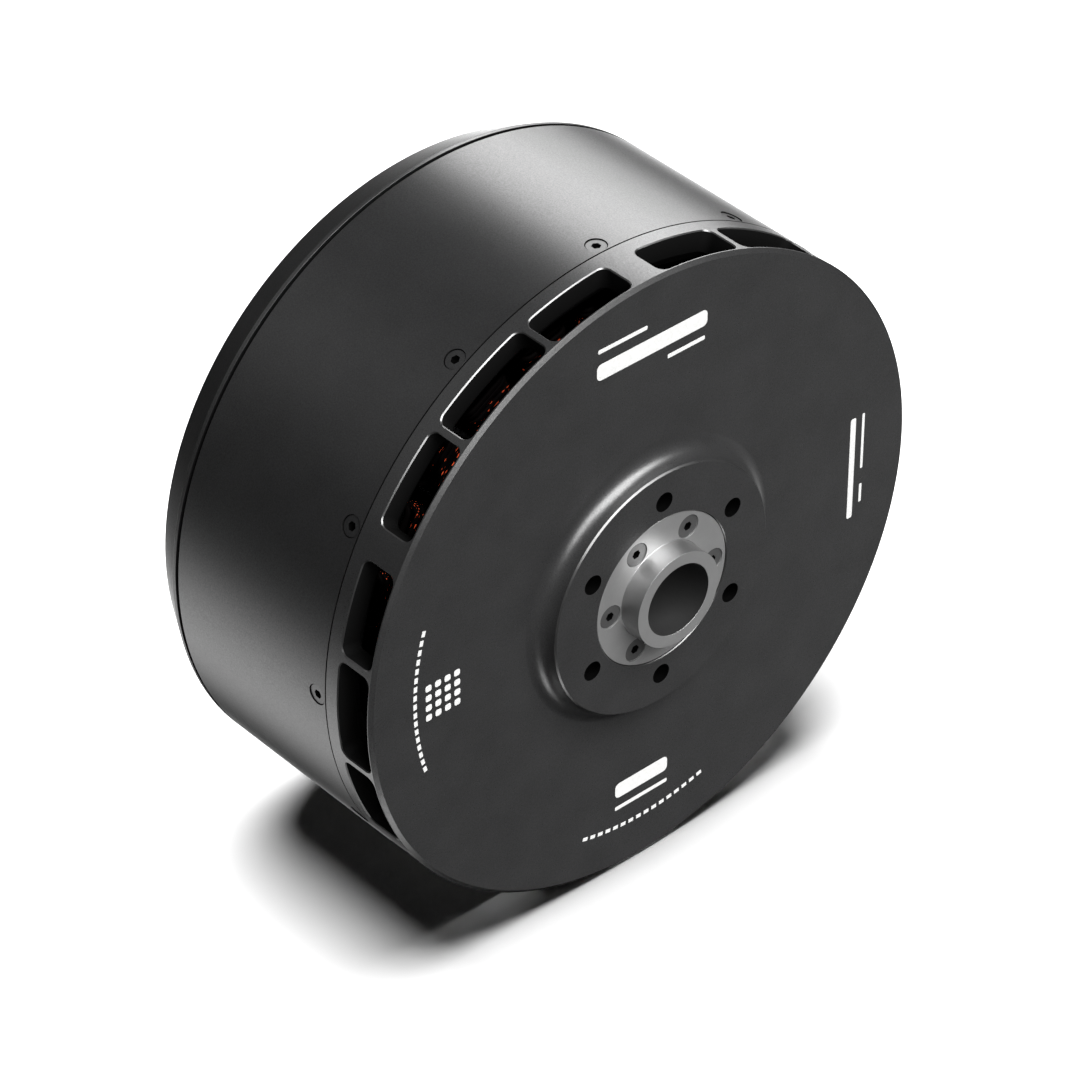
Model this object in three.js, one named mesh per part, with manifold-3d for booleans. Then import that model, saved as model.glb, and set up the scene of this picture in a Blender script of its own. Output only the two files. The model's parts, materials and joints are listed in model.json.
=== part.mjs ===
// Brushless outrunner motor, output face towards +X, lying on its drum with +Z up. Millimetres.
// The rotor is a drum closed by a vented front cover and carried on a hollow shaft. It turns
// around a fixed stator, whose rear cover closes the back of the drum.
// Stations are distances along the motor axis from the drum's front rim, positive forwards.
// Angles are in degrees around the axis, from +Y at 0 to +Z at 90.

import * as THREE from 'three';
import { mergeVertices } from 'three/addons/utils/BufferGeometryUtils.js';
import Module from 'manifold-3d';

const wasm = await Module();
wasm.setup();

// Clearance between neighbouring pieces, and how far a cutter runs past the face it cuts.
const gap = 0.3;
const overcut = 2;

// Facets around large shells, inner parts, bearing parts and small round parts.
const shellSides = 48;
const innerSides = 30;
const bearingSides = 20;
const smallSides = 8;

// Drum: outer radius, wall, and the stations of its two ends.
const drumRadius = 125;
const drumWall = 8;
const drumInnerRadius = drumRadius - drumWall;
const drumFront = -22.5;
const drumRear = -101.25;

// Front cover: face, central boss, spigot inside the drum.
const coverFace = 0.6;
const rimChamfer = 1.5;
const bossFace = 8.25;
const bossRadius = 49.5;
const bossFillet = 7;
const bossChamfer = 0.65;
const coverInnerRadius = 117;
const coverPlateRear = -4.5;
const coverWebRadius = 60;
const coverWebRear = -9;
const coverHubRear = -12;
const spigotRadius = 116.5;
const spigotInner = 113;
const spigotFront = -19;
const spigotRear = -31.5;

// Side vents: groups of three, the middle one wider, with narrow ribs inside a group.
const ventGroups = 6;
const ventFront = -1.4;
const ventRear = -16.3;
const ventCorner = 3;
const ventSideWidth = 16.45;
const ventMiddleWidth = 18.7;
const ventRibWidth = 1.36;

// Propeller bolt holes in the boss.
const propHoles = 6;
const propHoleFirst = 30;
const propHoleCircle = 37.5;
const propHoleRadius = 3.8;

// Hollow shaft with its flange let into the boss.
const boreRadius = 14.1;
const shaftRadius = 17.5;
const noseRadius = 18.8;
const noseFront = 16.2;
const flangeRadius = 30;
const flangeFront = 7.85;
const flangeRear = 2.4;
const flangeFillet = 0.9;
const shaftChamfer = 0.6;
const shaftRear = -108;

// Slotted round nut on the rear end of the shaft, and the spacers between the bearings.
const nutRadius = 24;
const nutThickness = 6;
const nutSlots = 4;
const nutSlotLength = 12;
const nutSlotWidth = 4;
const frontSpacerRadius = 22;
const bearingSpacerRadius = 20.5;

// Countersunk screws: head radius, head depth, shank radius, length, socket radius.
const hubScrew = { head: 4.45, depth: 2.5, shank: 2.5, length: 15, socket: 1.7 };
const drumScrew = { head: 3.7, depth: 2.2, shank: 2, length: 11, socket: 1.45 };
const rearScrew = { head: 6, depth: 3.3, shank: 3, length: 24, socket: 2.3 };
const socketDepthShare = 0.8;
const hubScrewCount = 6;
const hubScrewCircle = 23.9;
const hubScrewFace = 7.5;
const drumScrewCount = 12;
const drumScrewStation = -27;
const drumScrewRecess = 0.5;
const rearScrewCount = 6;
const rearScrewCircle = 42;
const rearScrewFace = -120.6;

// Bearings on the shaft: 35 x 55 x 10 mm, one at each end of the bearing tube.
const bearingOuterRadius = 27.5;
const bearingWidth = 10;
const bearingFronts = { front: -18, rear: -90 };
const innerRaceOuter = 19.3;
const outerRaceInner = 25.9;
const ballCircle = 22.5;
const ballRadius = 2.75;
const ballCount = 10;
const cageHalfThickness = 0.9;
const cageHalfWidth = 1.5;

// Spring ring that holds the front bearing, its groove, and the wave washer at the rear bearing.
const clipInner = 25.3;
const clipOuter = 28.8;
const clipThickness = 1.4;
const clipGrooveDepth = 1.5;
const clipGrooveWidth = 2;
const clipOpening = 9;
const washerInner = 25;
const washerOuter = 27.4;
const washerThickness = 0.8;
const washerSpace = 1.4;

// Stator: laminated stack of teeth with one coil each, on a carrier with the bearing tube.
const slots = 24;
const stackFront = -33;
const stackRear = -86;
const stackRadius = 111.2;
const toothTipInner = 107;
const toothTipSlope = 1.5;
const slotFloor = 83.5;
const stackBore = 72;
const toothWidth = 13;
const slotOpening = 4;
const coilInner = 84;
const coilOuter = 105.5;
const coilWidth = 21.4;
const coilFrontOverhang = 12;
const coilRearOverhang = 9;
const coilCorner = 3.5;
const phases = ['u', 'v', 'w'];
const busInner = 84.5;
const busOuter = 90;
const busThickness = 1.6;
const busPitch = 2.2;
const busGap = 1;
const tailInner = 92;
const tailOuter = 95;
const tailWidth = 3;
const tailOverlap = 1;
const tubeRadius = 33;
const tubeFront = -14;
const carrierRimInner = 64;
const carrierRimOuter = 71.4;
const carrierRimOverlap = 1;
const carrierWebFront = -60;
const carrierWebRear = -68;
const carrierHoleCircle = 48.5;
const carrierHoleRadius = 10;
const carrierHoles = 6;
const carrierFlangeRadius = 48;
const carrierFlangeFront = -95;
const carrierRear = -103.7;
const bearingShoulder = 24.6;

// Magnets bonded inside the drum.
const magnetCount = 28;
const magnetInner = 112.9;
const magnetOuter = 116.5;
const magnetFront = -34;
const magnetRear = -88;
const magnetGapWidth = 2.4;
const magnetGapDepth = 2.4;

// Rear cover: short cylinder, taper, ribbed recess and central mounting pad.
const rearRimFront = -102.75;
const rearRimEdge = -104.2;
const rearFace = -118;
const rearFaceRadius = 117.6;
const rearPlateFront = -104;
const rearPlateRear = -112;
const rearRecessOuter = 104;
const padRadius = 58;
const padFace = -121;
const rearOpening = 30;
const lipInner = 106;
const lipOuter = 109;
const lipFront = -97;
const rearSpokes = 12;
const ribWidth = 6;
const ribSink = 0.5;
const ribOverlap = 1;
const windowInner = 66;
const windowOuter = 98;
const windowWidth = 20;
const solidSector = 30;
const mountHoleCircle = 50;
const mountHoleRadius = 3.4;
const mountHoles = 6;
const mountHoleFirst = 30;

// Phase leads: insulated cables that leave through the rear cover and sag to ring lugs.
const leadAngles = { u: -75, v: -60, w: -45 };
const leadRadius = 5;
const leadCircle = 85;
const leadStart = -102.6;
const leadStraightEnd = -120;
const leadBend = -152;
const leadSettled = -170;
const leadEnd = -186;
const leadEndHeight = -116;
const leadSteps = 10;
const lugBarrelFront = -176;
const lugBarrelRear = -190;
const lugBarrelInner = 5.7;
const lugBarrelOuter = 7.4;
const lugBarrelFloor = 2;
const lugEnd = -205;
const lugHoleRadius = 4.2;
const lugThickness = 3;
const lugEyeRadius = 7.5;
const lugTongueHalfWidth = 6;
const grommetRadius = 7.7;
const grommetFlange = 10;
const grommetFlangeThickness = 2.2;

const radians = THREE.MathUtils.degToRad;

// Turns of a drawn shape: extruded forwards along the motor axis, or outwards along a radius.
const axialBasis = new THREE.Matrix4().makeBasis(
  new THREE.Vector3(0, 1, 0),
  new THREE.Vector3(0, 0, 1),
  new THREE.Vector3(1, 0, 0),
);
const radialBasis = new THREE.Matrix4().makeBasis(
  new THREE.Vector3(-1, 0, 0),
  new THREE.Vector3(0, 0, 1),
  new THREE.Vector3(0, 1, 0),
);

// ---------------------------------------------------------------- solid helpers

function toSolid(geometry) {
  const bare = geometry.clone();
  bare.deleteAttribute('normal');
  bare.deleteAttribute('uv');
  const merged = mergeVertices(bare);
  const source = merged.index.array;
  const corners = [];
  for (let i = 0; i < source.length; i += 3) {
    const [a, b, c] = source.subarray(i, i + 3);
    if (a !== b && b !== c && c !== a) corners.push(a, b, c);
  }
  return new wasm.Manifold(
    new wasm.Mesh({
      numProp: 3,
      vertProperties: merged.attributes.position.array,
      triVerts: new Uint32Array(corners),
    }),
  );
}

function toGeometry(solid) {
  const mesh = solid.getMesh();
  const geometry = new THREE.BufferGeometry();
  geometry.setAttribute('position', new THREE.BufferAttribute(mesh.vertProperties, 3));
  geometry.setIndex(new THREE.BufferAttribute(mesh.triVerts, 1));
  geometry.computeVertexNormals();
  return geometry;
}

function cut(base, tools) {
  let solid = toSolid(base);
  for (const tool of tools) solid = solid.subtract(toSolid(tool));
  return toGeometry(solid);
}

function join(pieces) {
  let solid = toSolid(pieces[0]);
  for (const piece of pieces.slice(1)) solid = solid.add(toSolid(piece));
  return toGeometry(solid);
}

// Turns an outline of [radius, station] pairs around the motor axis.
function revolve(outline, sides) {
  const points = outline.map(([radius, station]) => new THREE.Vector2(radius, station));
  if (THREE.ShapeUtils.area(points) < 0) points.reverse();
  if (points[0].x > 0) points.push(points[0].clone());
  return new THREE.LatheGeometry(points, sides).rotateZ(-Math.PI / 2);
}

function ring(inner, outer, front, rear, sides) {
  return revolve([[inner, front], [outer, front], [outer, rear], [inner, rear]], sides);
}

function rod(radius, front, rear, sides = smallSides) {
  const length = front - rear;
  const geometry = new THREE.CylinderGeometry(radius, radius, length, sides);
  return geometry.rotateZ(-Math.PI / 2).translate((front + rear) / 2, 0, 0);
}

// Extrudes a shape drawn across the axis (its x becomes Y, its y becomes Z) between two stations.
function plate(shape, front, rear) {
  const geometry = new THREE.ExtrudeGeometry(shape, {
    depth: front - rear,
    bevelEnabled: false,
    curveSegments: smallSides,
  });
  return geometry.applyMatrix4(axialBasis).translate(rear, 0, 0);
}

function polar(radius, degrees) {
  return new THREE.Vector2(
    radius * Math.cos(radians(degrees)),
    radius * Math.sin(radians(degrees)),
  );
}

// Copies of a geometry turned around the motor axis, one for each angle.
function around(geometry, angles) {
  return angles.map((degrees) => geometry.clone().rotateX(radians(degrees)));
}

function evenAngles(count, first = 0) {
  return Array.from({ length: count }, (_, i) => first + (i * 360) / count);
}

// Points of a circular arc, centre (radius, station), between two angles of the section plane.
function arc(centreRadius, centreStation, size, from, to, steps) {
  const points = [];
  for (let i = 0; i <= steps; i += 1) {
    const angle = radians(from + ((to - from) * i) / steps);
    points.push([centreRadius + size * Math.cos(angle), centreStation + size * Math.sin(angle)]);
  }
  return points;
}

// Rectangle with its corners cut, half sizes along x and y.
function cornerCutRectangle(halfX, halfY, corner) {
  const shape = new THREE.Shape();
  shape.moveTo(halfX - corner, -halfY);
  shape.lineTo(halfX, corner - halfY);
  shape.lineTo(halfX, halfY - corner);
  shape.lineTo(halfX - corner, halfY);
  shape.lineTo(corner - halfX, halfY);
  shape.lineTo(-halfX, halfY - corner);
  shape.lineTo(-halfX, corner - halfY);
  shape.lineTo(corner - halfX, -halfY);
  shape.closePath();
  return shape;
}

// ---------------------------------------------------------------- screws

// A countersunk screw along X with the top of its head at x = 0, facing +X.
function screwGeometry({ head, depth, shank, length, socket }) {
  const outline = [[0, 0], [head, 0], [shank, -depth], [shank, -length], [0, -length]];
  const body = revolve(outline, smallSides);
  const hexSocket = rod(socket, overcut, -depth * socketDepthShare, 6);
  return cut(body, [hexSocket]);
}

// The hole for such a screw, open in front of its head.
function screwHole({ head, depth, shank, length }) {
  const headHole = head + gap;
  const shankHole = shank + gap;
  const outline = [
    [0, overcut],
    [headHole, overcut],
    [headHole, -gap],
    [shankHole, -depth - gap],
    [shankHole, -length - gap],
    [0, -length - gap],
  ];
  return revolve(outline, smallSides);
}

// ---------------------------------------------------------------- rotor pieces

function coverBody() {
  const outline = [
    [shaftRadius + gap, flangeRear - gap],
    [flangeRadius + gap, flangeRear - gap],
    [flangeRadius + gap, bossFace],
    [bossRadius - bossChamfer, bossFace],
    ...arc(bossRadius + bossFillet, coverFace + bossFillet, bossFillet, 180, 270, 3),
    [drumRadius - rimChamfer, coverFace],
    [drumRadius, 0],
    [drumRadius, drumFront],
    [spigotRadius, drumFront],
    [spigotRadius, spigotRear],
    [spigotInner, spigotRear],
    [spigotInner, spigotFront],
    [coverInnerRadius, ventRear],
    [coverInnerRadius, coverPlateRear],
    [coverWebRadius, coverWebRear],
    [bossRadius, coverHubRear],
    [shaftRadius + gap, coverHubRear],
  ];
  return revolve(outline, shellSides);
}

// Cutter for one side vent at angle 0: its flanks are radial, so the ribs keep their angle.
function ventCutter(width) {
  const halfWidth = drumRadius * Math.tan(radians(width / 2));
  const halfLength = (ventFront - ventRear) / 2;
  const inner = coverInnerRadius - overcut;
  const outer = drumRadius + overcut;
  const shape = cornerCutRectangle(halfLength, halfWidth, ventCorner);
  const geometry = new THREE.ExtrudeGeometry(shape, { depth: outer - inner, bevelEnabled: false });
  geometry.applyMatrix4(radialBasis).translate((ventFront + ventRear) / 2, inner, 0);
  const position = geometry.attributes.position;
  for (let i = 0; i < position.count; i += 1) {
    position.setZ(i, (position.getZ(i) * position.getY(i)) / drumRadius);
  }
  return geometry;
}

function frontCover() {
  const groupAngles = evenAngles(ventGroups);
  const sideOffset = ventMiddleWidth / 2 + ventRibWidth + ventSideWidth / 2;
  const sideVent = ventCutter(ventSideWidth);
  const propHole = rod(propHoleRadius, bossFace + overcut, coverHubRear - overcut);
  const threadHole = rod(hubScrew.shank + gap, flangeRear + overcut, coverHubRear - overcut);
  const drumScrewHole = rod(drumScrew.shank + gap, overcut, -drumWall * 2);
  drumScrewHole.rotateZ(Math.PI / 2).translate(drumScrewStation, drumInnerRadius, 0);
  return cut(coverBody(), [
    ...around(ventCutter(ventMiddleWidth), groupAngles),
    ...around(sideVent, groupAngles.map((degrees) => degrees - sideOffset)),
    ...around(sideVent, groupAngles.map((degrees) => degrees + sideOffset)),
    ...around(propHole.translate(0, propHoleCircle, 0), evenAngles(propHoles, propHoleFirst)),
    ...around(threadHole.translate(0, hubScrewCircle, 0), evenAngles(hubScrewCount)),
    ...around(drumScrewHole, evenAngles(drumScrewCount)),
  ]);
}

function rotorCan() {
  const body = ring(drumInnerRadius, drumRadius, drumFront - gap, drumRear, shellSides);
  const hole = screwHole(drumScrew).rotateZ(Math.PI / 2);
  hole.translate(drumScrewStation, drumRadius - drumScrewRecess, 0);
  return cut(body, around(hole, evenAngles(drumScrewCount)));
}

function magnetRing() {
  const shape = new THREE.Shape();
  const hollow = new THREE.Path();
  const pitch = 360 / magnetCount;
  const halfGap = THREE.MathUtils.radToDeg(magnetGapWidth / 2 / magnetInner);
  const outer = [];
  const inner = [];
  for (let i = 0; i < magnetCount; i += 1) {
    const start = i * pitch;
    outer.push(polar(magnetOuter, start), polar(magnetOuter, start + pitch / 2));
    inner.push(polar(magnetInner, start + halfGap), polar(magnetInner, start + pitch - halfGap));
    inner.push(polar(magnetInner + magnetGapDepth, start + pitch - halfGap));
    inner.push(polar(magnetInner + magnetGapDepth, start + pitch + halfGap));
  }
  shape.setFromPoints(outer);
  shape.holes.push(hollow.setFromPoints(inner));
  return plate(shape, magnetFront, magnetRear);
}

function hubShaft() {
  const outline = [
    [boreRadius, noseFront],
    [noseRadius - shaftChamfer, noseFront],
    [noseRadius, noseFront - shaftChamfer],
    ...arc(noseRadius + flangeFillet, flangeFront + flangeFillet, flangeFillet, 180, 270, 2),
    [flangeRadius, flangeFront],
    [flangeRadius, flangeRear],
    [shaftRadius, flangeRear],
    [shaftRadius, shaftRear],
    [boreRadius, shaftRear],
  ];
  const hole = screwHole(hubScrew).translate(hubScrewFace, hubScrewCircle, 0);
  return cut(revolve(outline, innerSides), around(hole, evenAngles(hubScrewCount)));
}

// Slotted round nut that holds the bearings on the rear end of the shaft.
function shaftNut() {
  const front = bearingFronts.rear - bearingWidth - gap;
  const body = ring(shaftRadius + gap, nutRadius, front, front - nutThickness, bearingSides);
  const slot = new THREE.BoxGeometry(nutSlotLength, nutSlotWidth, nutSlotWidth);
  slot.translate(front - nutThickness / 2, nutRadius, 0);
  return cut(body, around(slot, evenAngles(nutSlots)));
}

// ---------------------------------------------------------------- bearing pieces

function ballCage(front) {
  const centre = front - bearingWidth / 2;
  const cage = ring(
    ballCircle - cageHalfThickness,
    ballCircle + cageHalfThickness,
    centre + cageHalfWidth,
    centre - cageHalfWidth,
    bearingSides,
  );
  const ball = new THREE.SphereGeometry(ballRadius, 6, 4).translate(centre, ballCircle, 0);
  return join([cage, ...around(ball, evenAngles(ballCount))]);
}

// Open spring ring that holds the front bearing in the tube.
function retainingRing() {
  const front = bearingFronts.front + clipGrooveWidth;
  const body = ring(clipInner, clipOuter, front, front - clipThickness, bearingSides);
  const opening = new THREE.BoxGeometry(clipOpening, clipOpening, clipOpening);
  return cut(body, [opening.translate(front, (clipInner + clipOuter) / 2, 0)]);
}

// ---------------------------------------------------------------- stator pieces

function laminationStack() {
  const pitch = 360 / slots;
  const outline = [];
  const tipHalf = pitch / 2 - THREE.MathUtils.radToDeg(slotOpening / 2 / stackRadius);
  for (let i = 0; i < slots; i += 1) {
    const tooth = i * pitch;
    const flank = (radius) => THREE.MathUtils.radToDeg(Math.asin(toothWidth / 2 / radius));
    outline.push(polar(slotFloor, tooth - flank(slotFloor)));
    outline.push(polar(toothTipInner, tooth - flank(toothTipInner)));
    outline.push(polar(toothTipInner + toothTipSlope, tooth - tipHalf));
    outline.push(polar(stackRadius, tooth - tipHalf), polar(stackRadius, tooth + tipHalf));
    outline.push(polar(toothTipInner + toothTipSlope, tooth + tipHalf));
    outline.push(polar(toothTipInner, tooth + flank(toothTipInner)));
    outline.push(polar(slotFloor, tooth + flank(slotFloor)));
  }
  const shape = new THREE.Shape(outline);
  const bore = evenAngles(innerSides).map((degrees) => polar(stackBore, degrees));
  shape.holes.push(new THREE.Path(bore));
  return plate(shape, stackFront, stackRear);
}

// One coil: a loop around the tooth at angle 0.
function coil() {
  const coilFront = stackFront + coilFrontOverhang;
  const coilRear = stackRear - coilRearOverhang;
  const coilMiddle = (coilFront + coilRear) / 2;
  const shape = cornerCutRectangle((coilFront - coilRear) / 2, coilWidth / 2, coilCorner);
  const windowFront = coilMiddle - stackFront - gap;
  const windowRear = coilMiddle - stackRear + gap;
  const windowHalf = toothWidth / 2 + gap;
  shape.holes.push(
    new THREE.Path([
      new THREE.Vector2(windowFront, -windowHalf),
      new THREE.Vector2(windowRear, -windowHalf),
      new THREE.Vector2(windowRear, windowHalf),
      new THREE.Vector2(windowFront, windowHalf),
    ]),
  );
  const depth = coilOuter - coilInner;
  const geometry = new THREE.ExtrudeGeometry(shape, { depth, bevelEnabled: false });
  return geometry.applyMatrix4(radialBasis).translate(coilMiddle, coilInner, 0);
}

// All coils of one phase, joined by their bus ring behind the stack.
function phaseWinding(index) {
  const angles = evenAngles(slots / phases.length, (index * 360) / slots);
  const coilRear = stackRear - coilRearOverhang;
  const riseFront = coilRear + tailOverlap;
  const footInner = busOuter - tailOverlap;
  const busFront = coilRear - busGap - index * busPitch;
  const busRear = busFront - busThickness;
  const bus = ring(busInner, busOuter, busFront, busRear, innerSides);
  const rise = new THREE.BoxGeometry(riseFront - busRear, tailOuter - tailInner, tailWidth);
  rise.translate((riseFront + busRear) / 2, (tailOuter + tailInner) / 2, 0);
  const foot = new THREE.BoxGeometry(busThickness, tailOuter - footInner, tailWidth);
  foot.translate((busFront + busRear) / 2, (tailOuter + footInner) / 2, 0);
  return join([bus, ...around(coil(), angles), ...around(rise, angles), ...around(foot, angles)]);
}

function statorCarrier() {
  const boreInner = bearingOuterRadius + gap;
  const grooveRear = bearingFronts.front + gap;
  const grooveFront = grooveRear + clipGrooveWidth;
  const rimFront = stackFront - carrierRimOverlap;
  const rimRear = stackRear + carrierRimOverlap;
  const shoulderFront = bearingFronts.front - bearingWidth - gap;
  const shoulderRear = bearingFronts.rear + washerSpace;
  const outline = [
    [boreInner, tubeFront],
    [tubeRadius, tubeFront],
    [tubeRadius, carrierWebFront],
    [carrierRimInner, carrierWebFront],
    [carrierRimInner, rimFront],
    [carrierRimOuter, rimFront],
    [carrierRimOuter, rimRear],
    [carrierRimInner, rimRear],
    [carrierRimInner, carrierWebRear],
    [tubeRadius, carrierWebRear],
    [tubeRadius, carrierFlangeFront],
    [carrierFlangeRadius, carrierFlangeFront],
    [carrierFlangeRadius, carrierRear],
    [boreInner, carrierRear],
    [boreInner, shoulderRear],
    [bearingShoulder, shoulderRear],
    [bearingShoulder, shoulderFront],
    [boreInner, shoulderFront],
    [boreInner, grooveRear],
    [boreInner + clipGrooveDepth, grooveRear],
    [boreInner + clipGrooveDepth, grooveFront],
    [boreInner, grooveFront],
  ];
  const lightening = rod(carrierHoleRadius, carrierWebFront + overcut, carrierWebRear - overcut);
  const threadFront = carrierFlangeFront + overcut;
  const screwThread = rod(rearScrew.shank + gap, threadFront, carrierRear - overcut);
  return cut(revolve(outline, innerSides), [
    ...around(lightening.translate(0, carrierHoleCircle, 0), evenAngles(carrierHoles)),
    ...around(screwThread.translate(0, rearScrewCircle, 0), evenAngles(rearScrewCount)),
  ]);
}

function rearCoverBody() {
  const outline = [
    [rearOpening, rearPlateFront],
    [lipInner, rearPlateFront],
    [lipInner, lipFront],
    [lipOuter, lipFront],
    [lipOuter, rearRimFront],
    [drumRadius, rearRimFront],
    [drumRadius, rearRimEdge],
    [rearFaceRadius, rearFace],
    [rearRecessOuter, rearFace],
    [rearRecessOuter, rearPlateRear],
    [padRadius, rearPlateRear],
    [padRadius, padFace],
    [rearOpening, padFace],
  ];
  return revolve(outline, shellSides);
}

// Cutter for one cooling window between two ribs, centred on angle 0.
function windowCutter() {
  const half = windowWidth / 2;
  const points = [];
  for (const share of [-1, 0, 1]) points.push(polar(windowOuter, share * half));
  for (const share of [1, 0, -1]) points.push(polar(windowInner, share * half));
  return plate(new THREE.Shape(points), rearPlateFront + overcut, rearPlateRear - overcut);
}

function rearCover() {
  const spokeAngles = evenAngles(rearSpokes);
  const leadSide = leadAngles.v + 360;
  const ribAngles = spokeAngles.filter((degrees) => degrees !== leadSide);
  const windowAngles = evenAngles(rearSpokes, 180 / rearSpokes).filter(
    (degrees) => Math.abs(degrees - leadSide) > solidSector,
  );
  const ribLength = rearRecessOuter - padRadius + 2 * ribOverlap;
  const rib = new THREE.BoxGeometry(rearPlateRear - rearFace, ribLength, ribWidth);
  rib.translate((rearPlateRear + rearFace) / 2 + ribSink, (rearRecessOuter + padRadius) / 2, 0);
  const screw = screwHole(rearScrew).rotateZ(Math.PI).translate(rearScrewFace, rearScrewCircle, 0);
  const mountHole = rod(mountHoleRadius, rearPlateFront + overcut, padFace - overcut);
  const leadHole = rod(grommetRadius + gap, rearPlateFront + overcut, rearPlateRear - overcut);
  leadHole.translate(0, leadCircle, 0);
  const shell = join([rearCoverBody(), ...around(rib, ribAngles)]);
  return cut(shell, [
    ...around(windowCutter(), windowAngles),
    ...around(screw, evenAngles(rearScrewCount)),
    ...around(mountHole.translate(0, mountHoleCircle, 0), evenAngles(mountHoles, mountHoleFirst)),
    ...around(leadHole, Object.values(leadAngles)),
  ]);
}

// ---------------------------------------------------------------- phase leads

function leadPath(phase) {
  const exit = polar(leadCircle, leadAngles[phase]);
  const stations = [
    [leadStart, exit.y],
    [rearPlateRear, exit.y],
    [leadStraightEnd, exit.y],
    [leadBend, (exit.y + leadEndHeight) / 2],
    [leadSettled, leadEndHeight + 1],
    [leadEnd, leadEndHeight],
  ];
  const points = stations.map(([station, height]) => new THREE.Vector3(station, exit.x, height));
  return new THREE.CatmullRomCurve3(points, false, 'centripetal');
}

function phaseLead(phase) {
  const outline = evenAngles(smallSides).map((degrees) => polar(leadRadius, degrees));
  return new THREE.ExtrudeGeometry(new THREE.Shape(outline), {
    steps: leadSteps,
    bevelEnabled: false,
    extrudePath: leadPath(phase),
  });
}

function leadGrommet() {
  const inner = leadRadius / Math.cos(Math.PI / smallSides) + gap;
  const flangeFace = rearPlateRear - gap;
  const outline = [
    [inner, rearPlateFront],
    [grommetRadius, rearPlateFront],
    [grommetRadius, flangeFace],
    [grommetFlange, flangeFace],
    [grommetFlange, flangeFace - grommetFlangeThickness],
    [inner, flangeFace - grommetFlangeThickness],
  ];
  return revolve(outline, smallSides);
}

// Ring lug: a barrel closed at its far end, and a flat tongue with a bolt hole.
function leadLug() {
  const floorFront = lugBarrelRear + lugBarrelFloor;
  const barrel = revolve([
    [0, lugBarrelRear],
    [lugBarrelOuter, lugBarrelRear],
    [lugBarrelOuter, lugBarrelFront],
    [lugBarrelInner, lugBarrelFront],
    [lugBarrelInner, floorFront],
    [0, floorFront],
  ], smallSides);
  const eyeCentre = lugEnd + lugEyeRadius;
  const tongueFront = lugBarrelRear + lugBarrelFloor / 2;
  const outline = new THREE.Shape();
  outline.moveTo(tongueFront, lugTongueHalfWidth);
  outline.lineTo(eyeCentre, lugEyeRadius);
  outline.absarc(eyeCentre, 0, lugEyeRadius, Math.PI / 2, (3 * Math.PI) / 2, false);
  outline.lineTo(tongueFront, -lugTongueHalfWidth);
  outline.holes.push(new THREE.Path().absarc(eyeCentre, 0, lugHoleRadius, 0, 2 * Math.PI, true));
  const tongue = new THREE.ExtrudeGeometry(outline, {
    depth: lugThickness,
    bevelEnabled: false,
    curveSegments: smallSides,
  });
  return join([barrel, tongue.translate(0, 0, -lugThickness / 2)]);
}

// ---------------------------------------------------------------- materials

function material(color, roughness, metalness) {
  return new THREE.MeshStandardMaterial({ color, roughness, metalness });
}

const blackAnodised = material(0x2c2c2e, 0.5, 0.6);
const satinAluminium = material(0xb4b5b8, 0.35, 0.9);
const blackScrew = material(0x1f1f21, 0.4, 0.8);
const steelScrew = material(0x77787b, 0.35, 0.9);
const bearingSteel = material(0xc8c9cc, 0.2, 1);
const magnetPlate = material(0x9a9ca0, 0.3, 0.9);
const laminationSteel = material(0x3b3d40, 0.6, 0.5);
const copperEnamel = material(0xb4431c, 0.3, 0.8);
const cageBrass = material(0xb08d4a, 0.4, 0.8);
const siliconeCable = material(0x1a1a1b, 0.8, 0);
const grommetRubber = material(0x111112, 0.9, 0);
const tinnedCopper = material(0xc4c4c0, 0.3, 0.9);

// ---------------------------------------------------------------- assembly

function piece(name, geometry, finish) {
  const mesh = new THREE.Mesh(geometry, finish);
  mesh.name = name;
  return mesh;
}

// Screws evenly around the motor axis. Each head sits at a station and radius, and faces
// forwards at facing 0, outwards at PI / 2 and backwards at PI.
function screwCircle(prefix, dimensions, count, station, radius, facing, finish) {
  const geometry = screwGeometry(dimensions);
  return evenAngles(count).map((degrees, i) => {
    const seat = new THREE.Group();
    const screw = piece(`${prefix}_${i + 1}`, geometry, finish);
    screw.position.set(station, radius, 0);
    screw.rotation.z = facing;
    seat.rotation.x = radians(degrees);
    seat.add(screw);
    return seat;
  });
}

function hubScrews() {
  return screwCircle(
    'hub_screw', hubScrew, hubScrewCount, hubScrewFace, hubScrewCircle, 0, steelScrew,
  );
}

function drumScrews() {
  const radius = drumRadius - drumScrewRecess;
  return screwCircle(
    'drum_screw', drumScrew, drumScrewCount, drumScrewStation, radius, Math.PI / 2, blackScrew,
  );
}

function rearScrews() {
  return screwCircle(
    'rear_screw', rearScrew, rearScrewCount, rearScrewFace, rearScrewCircle, Math.PI, blackScrew,
  );
}

function shaftSpacer(outer, front, rear) {
  return ring(shaftRadius + gap, outer, front - gap, rear + gap, bearingSides);
}

function innerRace(front) {
  return ring(shaftRadius + gap, innerRaceOuter, front, front - bearingWidth, bearingSides);
}

function outerRace(front) {
  return ring(outerRaceInner, bearingOuterRadius, front, front - bearingWidth, bearingSides);
}

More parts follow.
